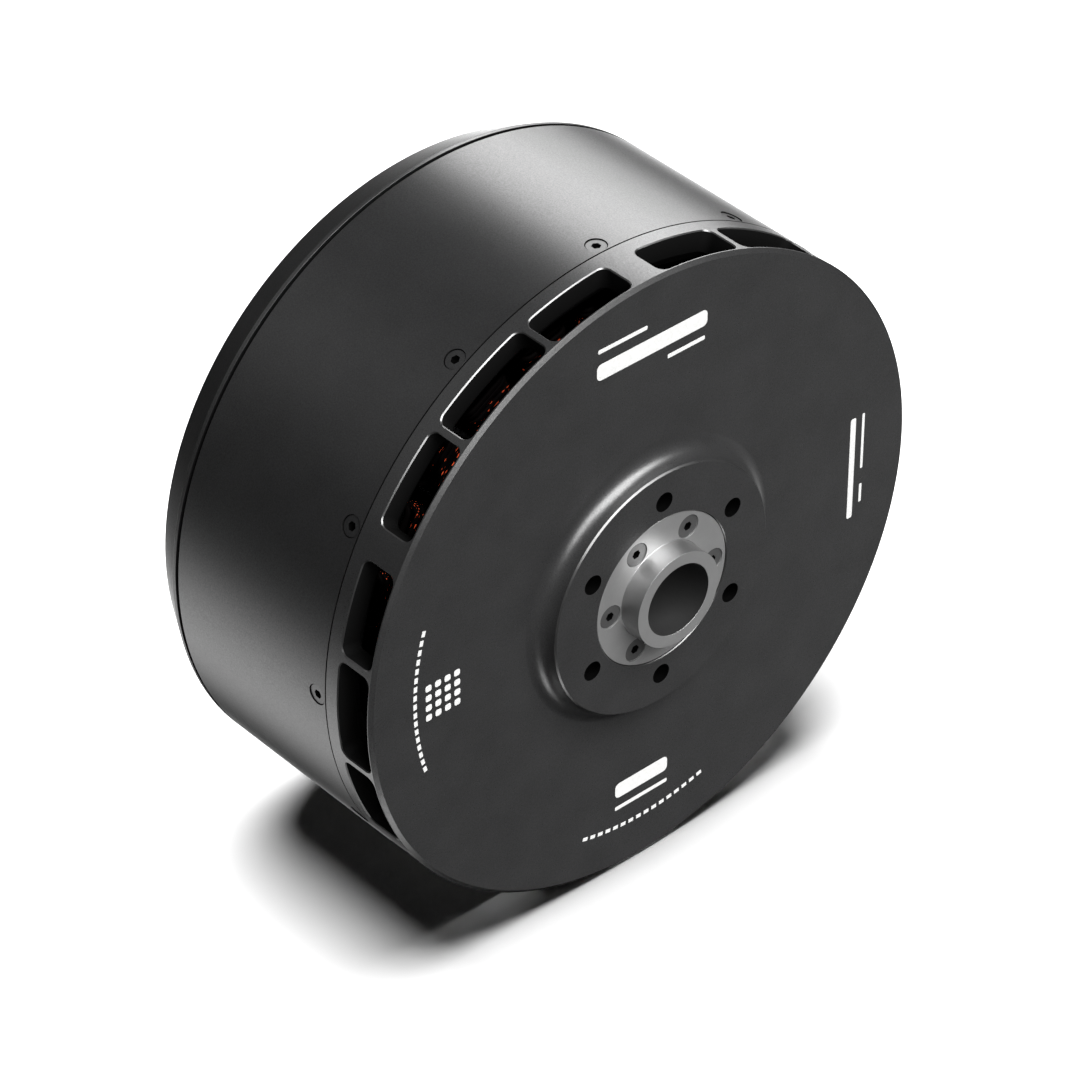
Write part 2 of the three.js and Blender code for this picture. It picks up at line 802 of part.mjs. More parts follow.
function rotor() {
  const group = new THREE.Group();
  const frontSpacer = shaftSpacer(frontSpacerRadius, coverHubRear, bearingFronts.front);
  const frontBearingRear = bearingFronts.front - bearingWidth;
  const bearingSpacer = shaftSpacer(bearingSpacerRadius, frontBearingRear, bearingFronts.rear);
  group.add(
    piece('front_cover', frontCover(), blackAnodised),
    piece('rotor_drum', rotorCan(), blackAnodised),
    piece('magnet_ring', magnetRing(), magnetPlate),
    piece('hub_shaft', hubShaft(), satinAluminium),
    piece('front_spacer', frontSpacer, satinAluminium),
    piece('bearing_spacer', bearingSpacer, satinAluminium),
    piece('shaft_nut', shaftNut(), steelScrew),
    piece('front_inner_race', innerRace(bearingFronts.front), bearingSteel),
    piece('rear_inner_race', innerRace(bearingFronts.rear), bearingSteel),
    ...hubScrews(),
    ...drumScrews(),
  );
  return group;
}

function stator() {
  const group = new THREE.Group();
  const washerRear = bearingFronts.rear + gap;
  const washerFront = washerRear + washerThickness;
  const washer = ring(washerInner, washerOuter, washerFront, washerRear, bearingSides);
  group.add(
    piece('rear_cover', rearCover(), blackAnodised),
    piece('stator_carrier', statorCarrier(), satinAluminium),
    piece('lamination_stack', laminationStack(), laminationSteel),
    piece('front_outer_race', outerRace(bearingFronts.front), bearingSteel),
    piece('rear_outer_race', outerRace(bearingFronts.rear), bearingSteel),
    piece('retaining_ring', retainingRing(), steelScrew),
    piece('preload_washer', washer, steelScrew),
    ...phases.map((phase, i) => piece(`winding_${phase}`, phaseWinding(i), copperEnamel)),
    ...rearScrews(),
  );
  for (const phase of phases) {
    const exit = polar(leadCircle, leadAngles[phase]);
    const grommetSeat = new THREE.Group();
    const grommet = piece(`lead_grommet_${phase}`, leadGrommet(), grommetRubber);
    const lug = piece(`lead_lug_${phase}`, leadLug(), tinnedCopper);
    grommet.position.y = leadCircle;
    grommetSeat.rotation.x = radians(leadAngles[phase]);
    grommetSeat.add(grommet);
    lug.position.set(0, exit.x, leadEndHeight);
    group.add(piece(`phase_lead_${phase}`, phaseLead(phase), siliconeCable), grommetSeat, lug);
  }
  return group;
}

function ballCages() {
  const group = new THREE.Group();
  group.add(
    piece('front_ball_cage', ballCage(bearingFronts.front), cageBrass),
    piece('rear_ball_cage', ballCage(bearingFronts.rear), cageBrass),
  );
  return group;
}

// The frame's origin is the centre of the whole motor's bounding box, on the motor axis.
const motor = new THREE.Group();
motor.add(rotor(), stator(), ballCages());
motor.position.x = -(noseFront + lugEnd) / 2;

export default motor;
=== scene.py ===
"""Looks of a large brushless outrunner motor: machined shells, wound coils, cables, studio."""

import json
import math
import random

import bpy
import bmesh
import numpy as np
from mathutils import Matrix, Vector

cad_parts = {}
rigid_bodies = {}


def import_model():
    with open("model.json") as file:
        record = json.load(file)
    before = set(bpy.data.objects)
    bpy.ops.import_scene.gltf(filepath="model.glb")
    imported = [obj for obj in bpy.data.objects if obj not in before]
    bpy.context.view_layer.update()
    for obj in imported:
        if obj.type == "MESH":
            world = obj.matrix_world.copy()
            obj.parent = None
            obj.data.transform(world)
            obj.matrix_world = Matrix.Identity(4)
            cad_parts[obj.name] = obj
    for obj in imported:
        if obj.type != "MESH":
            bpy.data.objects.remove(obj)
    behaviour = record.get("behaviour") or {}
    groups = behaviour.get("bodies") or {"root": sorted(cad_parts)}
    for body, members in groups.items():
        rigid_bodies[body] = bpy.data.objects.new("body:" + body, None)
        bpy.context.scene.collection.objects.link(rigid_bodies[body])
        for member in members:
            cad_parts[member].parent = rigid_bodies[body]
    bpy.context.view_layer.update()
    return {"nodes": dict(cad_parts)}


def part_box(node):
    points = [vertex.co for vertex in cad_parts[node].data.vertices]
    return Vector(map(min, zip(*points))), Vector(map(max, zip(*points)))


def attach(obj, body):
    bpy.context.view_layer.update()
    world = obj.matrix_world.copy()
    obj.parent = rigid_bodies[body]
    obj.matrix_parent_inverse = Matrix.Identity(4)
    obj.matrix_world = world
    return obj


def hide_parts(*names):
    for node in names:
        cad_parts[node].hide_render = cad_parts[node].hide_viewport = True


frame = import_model()

# ---- sizes
# Outlines are in millimetres as [radius, station]: a station is a distance along the motor axis
# from the drum's front rim, positive towards the output side. Angles are degrees, from +Y to +Z.
MM = 0.001
BOSS_FACE = 8.25
RIM_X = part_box("front_cover")[1].x - BOSS_FACE * MM
PHASES = ("u", "v", "w")


def station(x):
    """Station in millimetres of a place along X in metres."""
    return (x - RIM_X) / MM


DRUM_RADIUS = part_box("rotor_drum")[1].y / MM
DRUM_FRONT = station(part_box("rotor_drum")[1].x)
DRUM_REAR = station(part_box("rotor_drum")[0].x)
DRUM_INNER = DRUM_RADIUS - 8
SHAFT_FRONT = station(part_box("hub_shaft")[1].x)
SHAFT_REAR = station(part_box("hub_shaft")[0].x)
REAR_RIM = DRUM_REAR - 1.5
REAR_LIP = station(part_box("rear_cover")[1].x)
PAD_FACE = station(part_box("rear_cover")[0].x)
STACK_FRONT = station(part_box("lamination_stack")[1].x)
STACK_REAR = station(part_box("lamination_stack")[0].x)
STACK_RADIUS = 111.2

GAP = 0.5
SHELL_SIDES = 360
INNER_SIDES = 180
SMALL_SIDES = 48
CAMERA_AZIMUTH = 48.24
CAMERA_ELEVATION = 37.78
CAMERA_DISTANCE = 13.66 * DRUM_RADIUS * MM
CAMERA_RIGHT = -0.2932 * DRUM_RADIUS * MM
CAMERA_UP = 0.1044 * DRUM_RADIUS * MM
CAMERA_LENS = 165.2

# ---- outlines


def rounded(corners, steps=6):
    """Outline through [radius, station, fillet] corners, each fillet drawn as an arc."""
    points = []
    for i, (r, s, size) in enumerate(corners):
        here = np.array([r, s], float)
        if size == 0:
            points.append(here)
            continue
        before = np.array(corners[i - 1][:2], float) - here
        after = np.array(corners[(i + 1) % len(corners)][:2], float) - here
        before /= np.linalg.norm(before)
        after /= np.linalg.norm(after)
        half = math.acos(np.clip(before @ after, -1, 1)) / 2
        middle = before + after
        centre = here + middle / np.linalg.norm(middle) * size / math.sin(half)
        start = here + before * size / math.tan(half) - centre
        end = here + after * size / math.tan(half) - centre
        turn = math.pi - 2 * half
        for k in range(steps + 1):
            t = k / steps
            mixed = math.sin((1 - t) * turn) * start + math.sin(t * turn) * end
            points.append(centre + mixed / math.sin(turn))
    return points


def rounded_rectangle(width, height, corner, steps=8, per_edge=12):
    """Points around a rectangle centred on zero, with rounded corners and divided edges."""
    arcs = []
    for side, (sx, sy) in enumerate(((1, 1), (-1, 1), (-1, -1), (1, -1))):
        centre = np.array([sx * (width / 2 - corner), sy * (height / 2 - corner)])
        turns = [90 * (side + k / steps) for k in range(steps + 1)]
        arcs.append([centre + corner * np.array(polar(1, turn)) for turn in turns])
    points = []
    for side, arc in enumerate(arcs):
        start, end = arc[-1], arcs[(side + 1) % 4][0]
        points += arc + [start + (end - start) * k / per_edge for k in range(1, per_edge)]
    return np.array(points)


def polar(radius, degrees):
    return radius * math.cos(math.radians(degrees)), radius * math.sin(math.radians(degrees))


def even_angles(count, first=0.0):
    return [first + i * 360 / count for i in range(count)]


# ---- meshes


class Shape:
    """Vertices in millimetres around the motor axis, and faces, gathered before a mesh is made."""

    def __init__(self):
        self.points = []
        self.faces = []

    def add(self, points, faces):
        base = len(self.points)
        self.points.extend(tuple(p) for p in points)
        self.faces.extend([base + i for i in face] for face in faces)
        return self

    def add_turned(self, other, angles, shift=(0, 0, 0)):
        """Adds copies of another shape, shifted and then turned around the motor axis."""
        moved = np.array(other.points) + np.array(shift)
        for degrees in angles:
            c, s = polar(1, degrees)
            turned = moved.copy()
            turned[:, 1] = moved[:, 1] * c - moved[:, 2] * s
            turned[:, 2] = moved[:, 1] * s + moved[:, 2] * c
            self.add(turned, other.faces)
        return self

    def join(self, other):
        return self.add(other.points, other.faces)

    def mapped(self, function):
        out = Shape()
        out.points = [tuple(function(*p)) for p in self.points]
        out.faces = [list(f) for f in self.faces]
        return out


def loops_shape(loops, closed_ends=True, wrap=False):
    """Skin through loops of points, with flat caps or wrapped into a torus."""
    shape = Shape()
    count = len(loops[0])
    points = [p for loop in loops for p in loop]
    faces = []
    pairs = len(loops) if wrap else len(loops) - 1
    for i in range(pairs):
        a, b = i * count, ((i + 1) % len(loops)) * count
        for k in range(count):
            n = (k + 1) % count
            faces.append([a + k, a + n, b + n, b + k])
    if closed_ends and not wrap:
        faces.append(list(range(count))[::-1])
        last = (len(loops) - 1) * count
        faces.append([last + k for k in range(count)])
    return shape.add(points, faces)


def revolve(outline, sides=SHELL_SIDES):
    """Solid of an outline turned around the axis. Points at radius zero become poles."""
    shape = Shape()
    points, faces, rows = [], [], []
    for r, s in outline:
        if r < 1e-6:
            rows.append([len(points)])
            points.append((s, 0, 0))
        else:
            rows.append(list(range(len(points), len(points) + sides)))
            for degrees in even_angles(sides):
                y, z = polar(r, degrees)
                points.append((s, y, z))
    closes = len(rows[0]) > 1
    for i in range(len(rows) if closes else len(rows) - 1):
        a, b = rows[i], rows[(i + 1) % len(rows)]
        for k in range(sides):
            n = (k + 1) % sides
            corners = [a[k % len(a)], a[n % len(a)], b[n % len(b)], b[k % len(b)]]
            faces.append(list(dict.fromkeys(corners)))
    return shape.add(points, faces)


def ring(inner, outer, front, rear, edge=0.3, sides=INNER_SIDES):
    corners = [[inner, front, edge], [outer, front, edge], [outer, rear, edge], [inner, rear, edge]]
    return revolve(rounded(corners, 3), sides)


def sweep(path, radius, sides=8, closed=False):
    """Round tube along a path; an open tube is capped with a flat face at each end."""
    path = np.array(path, float)
    ahead = np.roll(path, -1, 0) - path
    behind = path - np.roll(path, 1, 0)
    if not closed:
        ahead[-1], behind[0] = behind[-1], ahead[0]
    tangent = ahead + behind
    tangent /= np.linalg.norm(tangent, axis=1)[:, None]
    normal = np.cross(tangent[0], (0, 0, 1.0) if abs(tangent[0][2]) < 0.9 else (0, 1.0, 0))
    radii = radius if hasattr(radius, "__len__") else [radius] * len(path)
    loops = []
    for point, direction, size in zip(path, tangent, radii):
        normal = normal - direction * (normal @ direction)
        normal /= np.linalg.norm(normal)
        other = np.cross(direction, normal)
        angles = np.linspace(0, 2 * math.pi, sides, endpoint=False)
        loop = point + size * (np.cos(angles)[:, None] * normal + np.sin(angles)[:, None] * other)
        loops.append(loop)
    return loops_shape(loops, wrap=closed)


def to_mesh(name, shape):
    """Blender mesh in metres in the row's frame, with its faces pointing out."""
    mesh = bpy.data.meshes.new(name)
    points = np.array(shape.points) * MM
    points[:, 0] += RIM_X
    mesh.from_pydata(points.tolist(), [], shape.faces)
    work = bmesh.new()
    work.from_mesh(mesh)
    bmesh.ops.recalc_face_normals(work, faces=work.faces)
    work.to_mesh(mesh)
    work.free()
    return mesh


def shade(obj, sharp_angle=28):
    obj.data.polygons.foreach_set("use_smooth", [True] * len(obj.data.polygons))
    obj.data.set_sharp_from_angle(angle=math.radians(sharp_angle))
    weighted = obj.modifiers.new("weighted_normals", "WEIGHTED_NORMAL")
    weighted.keep_sharp = True


def make_object(name, shape):
    obj = bpy.data.objects.new(name, to_mesh(name, shape))
    bpy.context.scene.collection.objects.link(obj)
    return obj


def combine(obj, shape, operation="DIFFERENCE"):
    """Cuts another shape out of an object, or joins it on."""
    tool = make_object("tool", shape)
    modifier = obj.modifiers.new("combine", "BOOLEAN")
    modifier.operation = operation
    modifier.solver = "MANIFOLD"
    modifier.object = tool
    depsgraph = bpy.context.evaluated_depsgraph_get()
    mesh = bpy.data.meshes.new_from_object(obj.evaluated_get(depsgraph))
    obj.modifiers.clear()
    obj.data = mesh
    mesh.name = obj.name
    bpy.data.objects.remove(tool)
    return obj


def finish_piece(obj, material, body, slot, *nodes):
    """Shades a piece, gives it its material and puts it on its body in place of CAD nodes."""
    shade(obj)
    obj.data.materials.clear()
    obj.data.materials.append(material)
    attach(obj, body)
    if nodes:
        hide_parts(*nodes)
    return obj


def repaint(obj, material, test):
    """Gives another material to the faces that pass a test."""
    obj.data.materials.append(material)
    index = len(obj.data.materials) - 1
    for face in obj.data.polygons:
        if test(face):
            face.material_index = index


# ---- materials

NOISE_LOW, NOISE_HIGH = 0.3, 0.7
BLASTED_GLOSS = 0.5
PAINTED_GLINT_COPPER = (0.9, 0.11, 0.035)
COIL_OUTER = 105.5
# Painted glints on the front end turns: dash width, stretch, threshold, edge and outer radius.
DASH_WIDTH = 0.5
DASH_STRETCH = 0.22
DASH_LEVEL = 0.72
DASH_EDGE = 0.02
DASH_OUTER = 102.5
VENT_FLOOR = 112


def grey(level):
    return level, level, level


def add_node(tree, kind, **inputs):
    """New shader node, its inputs set to values or linked to the results of other nodes."""
    node = tree.nodes.new("ShaderNode" + kind)
    for name, value in inputs.items():
        socket = node.inputs[name.replace("_", " ")]
        if isinstance(value, bpy.types.NodeSocket):
            tree.links.new(value, socket)
        else:
            socket.default_value = value
    return node


def math_node(tree, operation, *values):
    """Result of a math node fed with numbers or with the results of other nodes."""
    node = tree.nodes.new("ShaderNodeMath")
    node.operation = operation
    for socket, value in zip(node.inputs, values):
        if isinstance(value, float):
            socket.default_value = value
        else:
            tree.links.new(value, socket)
    return node.outputs["Value"]


def map_range(tree, value, start, end, low=0.0, high=1.0, interpolation="LINEAR"):
    """Low up to start, high from end on."""
    node = add_node(tree, "MapRange", Value=value, From_Min=start, From_Max=end, To_Min=low, To_Max=high)
    node.interpolation_type = interpolation
    return node.outputs["Result"]


class Surface:
    """A procedural material: a Principled shader with texture nodes added to it."""

    def __init__(self, name, color, metallic, roughness, **inputs):
        self.material = bpy.data.materials.new(name)
        self.material.use_nodes = True
        self.tree = self.material.node_tree
        self.nodes, self.links = self.tree.nodes, self.tree.links
        self.shader = self.nodes["Principled BSDF"]
        self.set("Base Color", (*color, 1))
        self.set("Metallic", metallic)
        self.set("Roughness", roughness)
        for key, value in inputs.items():
            self.set(key.replace("_", " "), value)
        self.coordinates = self.nodes.new("ShaderNodeTexCoord").outputs["Object"]
        self.color, self.roughness = color, roughness

    def set(self, socket, value):
        self.shader.inputs[socket].default_value = value

    def noise(self, scale, detail=2.0, place=None):
        place = self.coordinates if place is None else place
        return add_node(self.tree, "TexNoise", Scale=scale, Detail=detail, Vector=place).outputs["Fac"]

    def around_axis(self):
        """Place along the motor's axis, angle about it and distance from it."""
        x, y, z = add_node(self.tree, "SeparateXYZ", Vector=self.coordinates).outputs
        squares = [math_node(self.tree, "POWER", side, 2.0) for side in (y, z)]
        distance = math_node(self.tree, "POWER", math_node(self.tree, "ADD", *squares), 0.5)
        return x, math_node(self.tree, "ARCTAN2", z, y), distance

    def mix_color(self, factor, first, second):
        """Base colour that goes from one colour to another as the factor goes from 0 to 1."""
        mix = self.nodes.new("ShaderNodeMix")
        mix.data_type = "RGBA"
        mix.inputs["A"].default_value = (*first, 1)
        mix.inputs["B"].default_value = (*second, 1)
        self.links.new(factor, mix.inputs["Factor"])
        self.links.new(mix.outputs["Result"], self.shader.inputs["Base Color"])

    def vary(self, socket, noise, middle, amount):
        value = map_range(self.tree, noise, NOISE_LOW, NOISE_HIGH, middle - amount, middle + amount)
        self.links.new(value, self.shader.inputs[socket])

    def vary_roughness(self, noise, amount):
        self.vary("Roughness", noise, self.roughness, amount)

    def vary_color(self, noise, amount):
        factor = map_range(self.tree, noise, NOISE_LOW, NOISE_HIGH)
        self.mix_color(factor, *[[c * share for c in self.color] for share in (1 - amount, 1 + amount)])

    def bump(self, value, height_mm, strength=1.0):
        node = add_node(self.tree, "Bump", Strength=strength, Distance=height_mm * MM, Height=value)
        self.links.new(node.outputs["Normal"], self.shader.inputs["Normal"])

    def stripes(self, pitch_mm):
        """Bands across the motor's axis."""
        scale = math.pi / (10 * pitch_mm * MM)
        texture = add_node(self.tree, "TexWave", Scale=scale, Vector=self.coordinates)
        texture.bands_direction = "X"
        return texture.outputs["Fac"]


def anodised(name, color, roughness, grain):
    """Bead-blasted black anodising: a fine speckle in gloss and height, faint large clouding."""
    surface = Surface(name, color, 0.0, roughness)
    surface.vary_roughness(surface.noise(1900, 3), 0.05)
    surface.vary("Specular IOR Level", surface.noise(2100), BLASTED_GLOSS, BLASTED_GLOSS / 4)
    surface.vary_color(surface.noise(60, 4), 0.10)
    surface.bump(surface.noise(2300, 3), grain)
    return surface.material


def polished_edge():
    """Edges broken after blasting: smoother than the faces beside them."""
    surface = Surface("edge_black", grey(0.012), 0.0, 0.3, Specular_IOR_Level=0.95)
    surface.vary_roughness(surface.noise(80), 0.03)
    surface.vary_color(surface.noise(60), 0.1)
    return surface.material


def satin_metal(name, color, roughness, metallic=1.0, grain=0.004):
    """Turned and clear-anodised metal with fine tool marks."""
    surface = Surface(name, color, metallic, roughness)
    surface.vary_roughness(surface.noise(1500, 3), 0.05)
    surface.vary_color(surface.noise(90, 3), 0.05)
    surface.bump(surface.noise(2500), grain)
    return surface.material


def laminations():
    """Powder-coated stack: thin sheets read as fine lines across the motor axis."""
    surface = Surface("lamination_coat", (0.028, 0.028, 0.03), 0.3, 0.5)
    surface.vary_color(surface.noise(300, 3), 0.2)
    surface.bump(surface.stripes(0.5), 0.05, 0.5)
    return surface.material


def enamelled_wire():
    """Copper magnet wire under a red-brown enamel."""
    surface = Surface("copper_wire", (0.5, 0.15, 0.05), 0.9, 0.3)
    surface.vary_color(surface.noise(220, 3), 0.3)
    surface.vary_roughness(surface.noise(700, 2), 0.06)
    return surface.material


def painted_shade_and_glint_wire():
    """Front end turns: near-black painted shade, broken by short painted copper glints that run with the
    wire.
    """
    surface = Surface("painted_shade_and_glint_wire", (0.0015, 0.001, 0.001), 0.0, 0.6, Specular_IOR_Level=0.02)
    along, turn, radius = surface.around_axis()
    arc = math_node(surface.tree, "MULTIPLY", turn, COIL_OUTER * MM * DASH_STRETCH)
    place = add_node(surface.tree, "CombineXYZ", X=along, Y=arc, Z=radius).outputs["Vector"]
    noise = surface.noise(1 / (DASH_WIDTH * MM), 0.0, place)
    # Painted glints: copper-coloured dashes where the noise passes DASH_LEVEL, kept to the rows inside
    # DASH_OUTER.
    dashes = map_range(surface.tree, noise, DASH_LEVEL, DASH_LEVEL + DASH_EDGE)
    inner_rows = map_range(surface.tree, radius, DASH_OUTER * MM, (DASH_OUTER - 1) * MM)
    factor = math_node(surface.tree, "MULTIPLY", dashes, inner_rows)
    surface.mix_color(factor, surface.color, PAINTED_GLINT_COPPER)
    return surface.material


def soft_polymer(name, color, roughness, scale, height):
    surface = Surface(name, color, 0.0, roughness, Specular_IOR_Level=0.4, Sheen_Weight=0.1)
    surface.vary_color(surface.noise(scale / 8, 3), 0.2)
    surface.vary_roughness(surface.noise(scale / 3, 2), 0.06)
    surface.bump(surface.noise(scale, 3), height)
    return surface.material


def painted_shade_material():
    """Painted shade for the inside of deep openings, sockets, joints and gaps: near-black without gloss,
    painted blacker towards the motor's axis where the shade is deeper.
    """
    surface = Surface("painted_shade_black", grey(0.0001), 0.0, 0.8, Specular_IOR_Level=0.03)
    radius = surface.around_axis()[2]
    # Painted shade that deepens inwards: lightest at the drum's outer radius, blackest from the vent
    # floor in.
    depth = map_range(surface.tree, radius, VENT_FLOOR * MM, DRUM_RADIUS * MM)
    surface.mix_color(depth, surface.color, grey(0.0026))
    surface.bump(surface.noise(900), 0.01)
    return surface.material


def printed_ink():
    surface = Surface("white_ink", (0.42, 0.42, 0.415), 0.0, 0.5)
    surface.vary_color(surface.noise(900, 3), 0.06)
    surface.bump(surface.noise(3000, 2), 0.004)
    return surface.material


FACE_BLACK = anodised("face_black", (0.0136, 0.0136, 0.0138), 0.32, 0.004)
DRUM_BLACK = anodised("drum_black", (0.0092, 0.0092, 0.0094), 0.33, 0.009)
REAR_BLACK = anodised("rear_black", (0.0115, 0.0115, 0.0117), 0.33, 0.004)
EDGE_BLACK = polished_edge()
# Painted shade for openings, sockets, joints and gaps.
PAINTED_SHADE = painted_shade_material()
SATIN_ALUMINIUM = satin_metal("satin_aluminium", (0.46, 0.46, 0.465), 0.33)
HUB_ALUMINIUM = satin_metal("hub_aluminium", grey(0.34), 0.42, 0.82)
# Painted shade: the hub's aluminium again, darker, for the nose and its fillet so that their highlights
# stay low.
NOSE_SHADED = satin_metal("nose_painted_darker", grey(0.235), 0.4, 0.9)
HUB_SCREW_GREY = satin_metal("hub_screw_grey", grey(0.115), 0.42, 0.8)
# Painted shade: a dark copy of the hub's aluminium for the inside of the shaft bore.
BORE_SHADED = satin_metal("bore_painted_shade", grey(0.045), 0.45, 0.8)
CARRIER_ALUMINIUM = satin_metal("carrier_aluminium", (0.5, 0.5, 0.505), 0.38, grain=0.006)
SCREW_STEEL = satin_metal("screw_steel", (0.2, 0.2, 0.205), 0.32)
BLACK_OXIDE = satin_metal("black_oxide", (0.035, 0.035, 0.037), 0.36)
BEARING_STEEL = satin_metal("bearing_steel", (0.68, 0.68, 0.69), 0.14, grain=0.001)
CAGE_BRASS = satin_metal("cage_brass", (0.62, 0.42, 0.15), 0.25, grain=0.002)
NICKEL = satin_metal("magnet_nickel", (0.5, 0.5, 0.51), 0.25, grain=0.002)
TIN = satin_metal("tinned_copper", (0.66, 0.66, 0.63), 0.3, grain=0.006)
LAMINATIONS = laminations()
COPPER = enamelled_wire()
SHADED_WIRE = painted_shade_and_glint_wire()
SILICONE = soft_polymer("silicone_sleeve", (0.012, 0.012, 0.0125), 0.55, 1600, 0.01)
SHRINK = soft_polymer("heat_shrink", grey(0.01), 0.38, 500, 0.02)
RUBBER = soft_polymer("grommet_rubber", grey(0.008), 0.6, 1200, 0.015)
INK = printed_ink()

# ---- screws

HUB_SCREW = {"head": 4.45, "depth": 2.5, "shank": 2.5, "length": 15, "socket": 1.75}
DRUM_SCREW = {"head": 3.7, "depth": 2.2, "shank": 2.0, "length": 11, "socket": 1.72}
REAR_SCREW = {"head": 6.0, "depth": 3.3, "shank": 3.0, "length": 24, "socket": 2.4}


def screw_shape(spec):
    """Countersunk screw with its head's top at zero, facing the output side."""
    corners = [
        [0, 0, 0],
        [spec["head"], 0, 0.12],
        [spec["head"], -0.5, 0.1],
        [spec["shank"], -spec["depth"], 0.2],
        [spec["shank"], -spec["length"], 0.4],
        [0, -spec["length"], 0],
    ]
    return revolve(rounded(corners, 4), SMALL_SIDES)


def hexagon(level, size):
    return [(level, *polar(size, degrees)) for degrees in even_angles(6)]


def socket_shape(spec):
    """Hexagon socket for cutting into a head."""
    across, depth = spec["socket"], spec["depth"]
    levels = [(1, across * 1.03), (-0.05, across * 1.03), (-0.1, across)]
    levels += [(-depth * 0.85, across), (-depth * 1.05, across * 0.1)]
    return loops_shape([hexagon(*level) for level in levels])


def screw_hole(spec, opening=1.0, clearance=0.25, recess=0.4):
    """Countersink for a screw whose head lies a little under the surface."""
    mouth = spec["head"] + clearance
    shank = spec["shank"] + clearance
    corners = [
        [0, opening, 0],
        [mouth, opening, 0],
        [mouth, -recess, 0],
        [shank, -spec["depth"] - clearance, 0],
        [shank, -spec["length"] - clearance, 0],
        [0, -spec["length"] - clearance, 0],
    ]
    return revolve(rounded(corners), SMALL_SIDES)


def place_screws(prefix, spec, seats, material, body, slot):
    """One mesh, set at each seat: a matrix that carries the head from the rim's centre."""
    master = make_object("screw_master", screw_shape(spec))
    combine(master, socket_shape(spec))
    mesh = master.data
    mesh.name = prefix
    mesh.transform(Matrix.Translation((-RIM_X, 0, 0)))
    bpy.data.objects.remove(master)

    def in_socket(face):
        radius = math.hypot(face.center.y, face.center.z)
        return radius < spec["socket"] * 1.2 * MM and face.center.x < -0.05 * MM

    for i, seat in enumerate(seats):
        node = f"{prefix}_{i + 1}"
        screw = bpy.data.objects.new(node + "_fine", mesh if i == 0 else mesh.copy())
        bpy.context.scene.collection.objects.link(screw)
        screw.matrix_world = seat
        finish_piece(screw, material, body, slot, node)
        # Painted shade inside each screw's hex socket.
        repaint(screw, PAINTED_SHADE, in_socket)


def seat_matrix(face, radius, degrees, turn):
    """Seat on a circle around the axis: turn lays the screw over about Z before the angle about X."""
    place = Matrix.Translation((RIM_X + face * MM, radius * MM, 0))
    tilt = Matrix.Rotation(math.radians(turn), 4, "Z")
    return Matrix.Rotation(math.radians(degrees), 4, "X") @ place @ tilt


# ---- front cover

FACE = 0.6
BOSS_RADIUS = 49.5
BOSS_FILLET = 7.0
BOSS_CHAMFER = 0.55
MOUTH_CHAMFER = 0.3
RIM_CHAMFER = 1.5
BORE_CLEARANCE = 17.8
FLANGE_RADIUS = 30.0
COVER_INNER = 117.0
SPIGOT = 116.5
SPIGOT_INNER = 113.0
VENT_FRONT = -1.4
VENT_REAR = -16.3
VENT_SIDE = 16.45
VENT_MIDDLE = 18.7
VENT_RIB = 1.36
VENT_CORNER = 3.2
VENT_CHAMFER = 0.4
PROP_CIRCLE = 37.5
PROP_HOLE = 3.8
HUB_CIRCLE = 23.9
HUB_HOLE = 2.8
TAPPED_HOLE = 2.3
DRUM_SCREW_STATION = -27.0


def cover_body():
    corners = [
        [BORE_CLEARANCE, 2.1, 0],
        [FLANGE_RADIUS + 0.25, 2.1, 0],
        [FLANGE_RADIUS + 0.2, BOSS_FACE - MOUTH_CHAMFER, 0],
        [FLANGE_RADIUS + 0.2 + MOUTH_CHAMFER, BOSS_FACE, 0],
        [BOSS_RADIUS - BOSS_CHAMFER, BOSS_FACE, 0],
        [BOSS_RADIUS, BOSS_FACE - BOSS_CHAMFER, 0],
        [BOSS_RADIUS, FACE, BOSS_FILLET],
        [DRUM_RADIUS - RIM_CHAMFER, FACE, 0.15],
        [DRUM_RADIUS, FACE - RIM_CHAMFER * 0.8, 0.15],
        [DRUM_RADIUS, DRUM_FRONT + GAP, 0.05],
        [SPIGOT, DRUM_FRONT + GAP, 0],
        [SPIGOT, -31.5, 0.5],
        [SPIGOT_INNER, -31.5, 0.5],
        [SPIGOT_INNER, -19, 0.3],
        [COVER_INNER, VENT_REAR, 0.3],
        [COVER_INNER, -4.5, 2.0],
        [60, -9, 4.0],
        [BOSS_RADIUS, -12, 2.0],
        [BORE_CLEARANCE, -12, 0.4],
    ]
    return revolve(rounded(corners, 8))


def vent_cutter(width):
    """Rounded opening in the rim at angle zero, with radial flanks and a chamfered outer edge."""
    span = math.radians(width) * DRUM_RADIUS
    height = VENT_FRONT - VENT_REAR
    middle = (VENT_FRONT + VENT_REAR) / 2
    levels = [
        (COVER_INNER - 3, 0.0),
        (DRUM_RADIUS - VENT_CHAMFER, 0.0),
        (DRUM_RADIUS, VENT_CHAMFER),
        (DRUM_RADIUS + 4, VENT_CHAMFER + 4),
    ]
    loops = []
    for radius, grow in levels:
        outline = rounded_rectangle(span + 2 * grow, height + 2 * grow, VENT_CORNER + grow)
        places = [(middle + across, math.degrees(along / DRUM_RADIUS)) for along, across in outline]
        loops.append([(x, *polar(radius, angle)) for x, angle in places])
    return loops_shape(loops)


def hole(radius, front, rear, edge=0.0):
    """Straight hole with an optional small chamfer at its front mouth."""
    mouth = [[0, front + 2], [radius + edge, front + 2], [radius + edge, front]]
    return revolve(mouth + [[radius, front - edge], [radius, rear], [0, rear]], SMALL_SIDES)


def radial(shape):
    """Lays a shape made along the axis over, so that its front faces away from the axis."""
    return shape.mapped(lambda x, y, z: (-y, x, z))


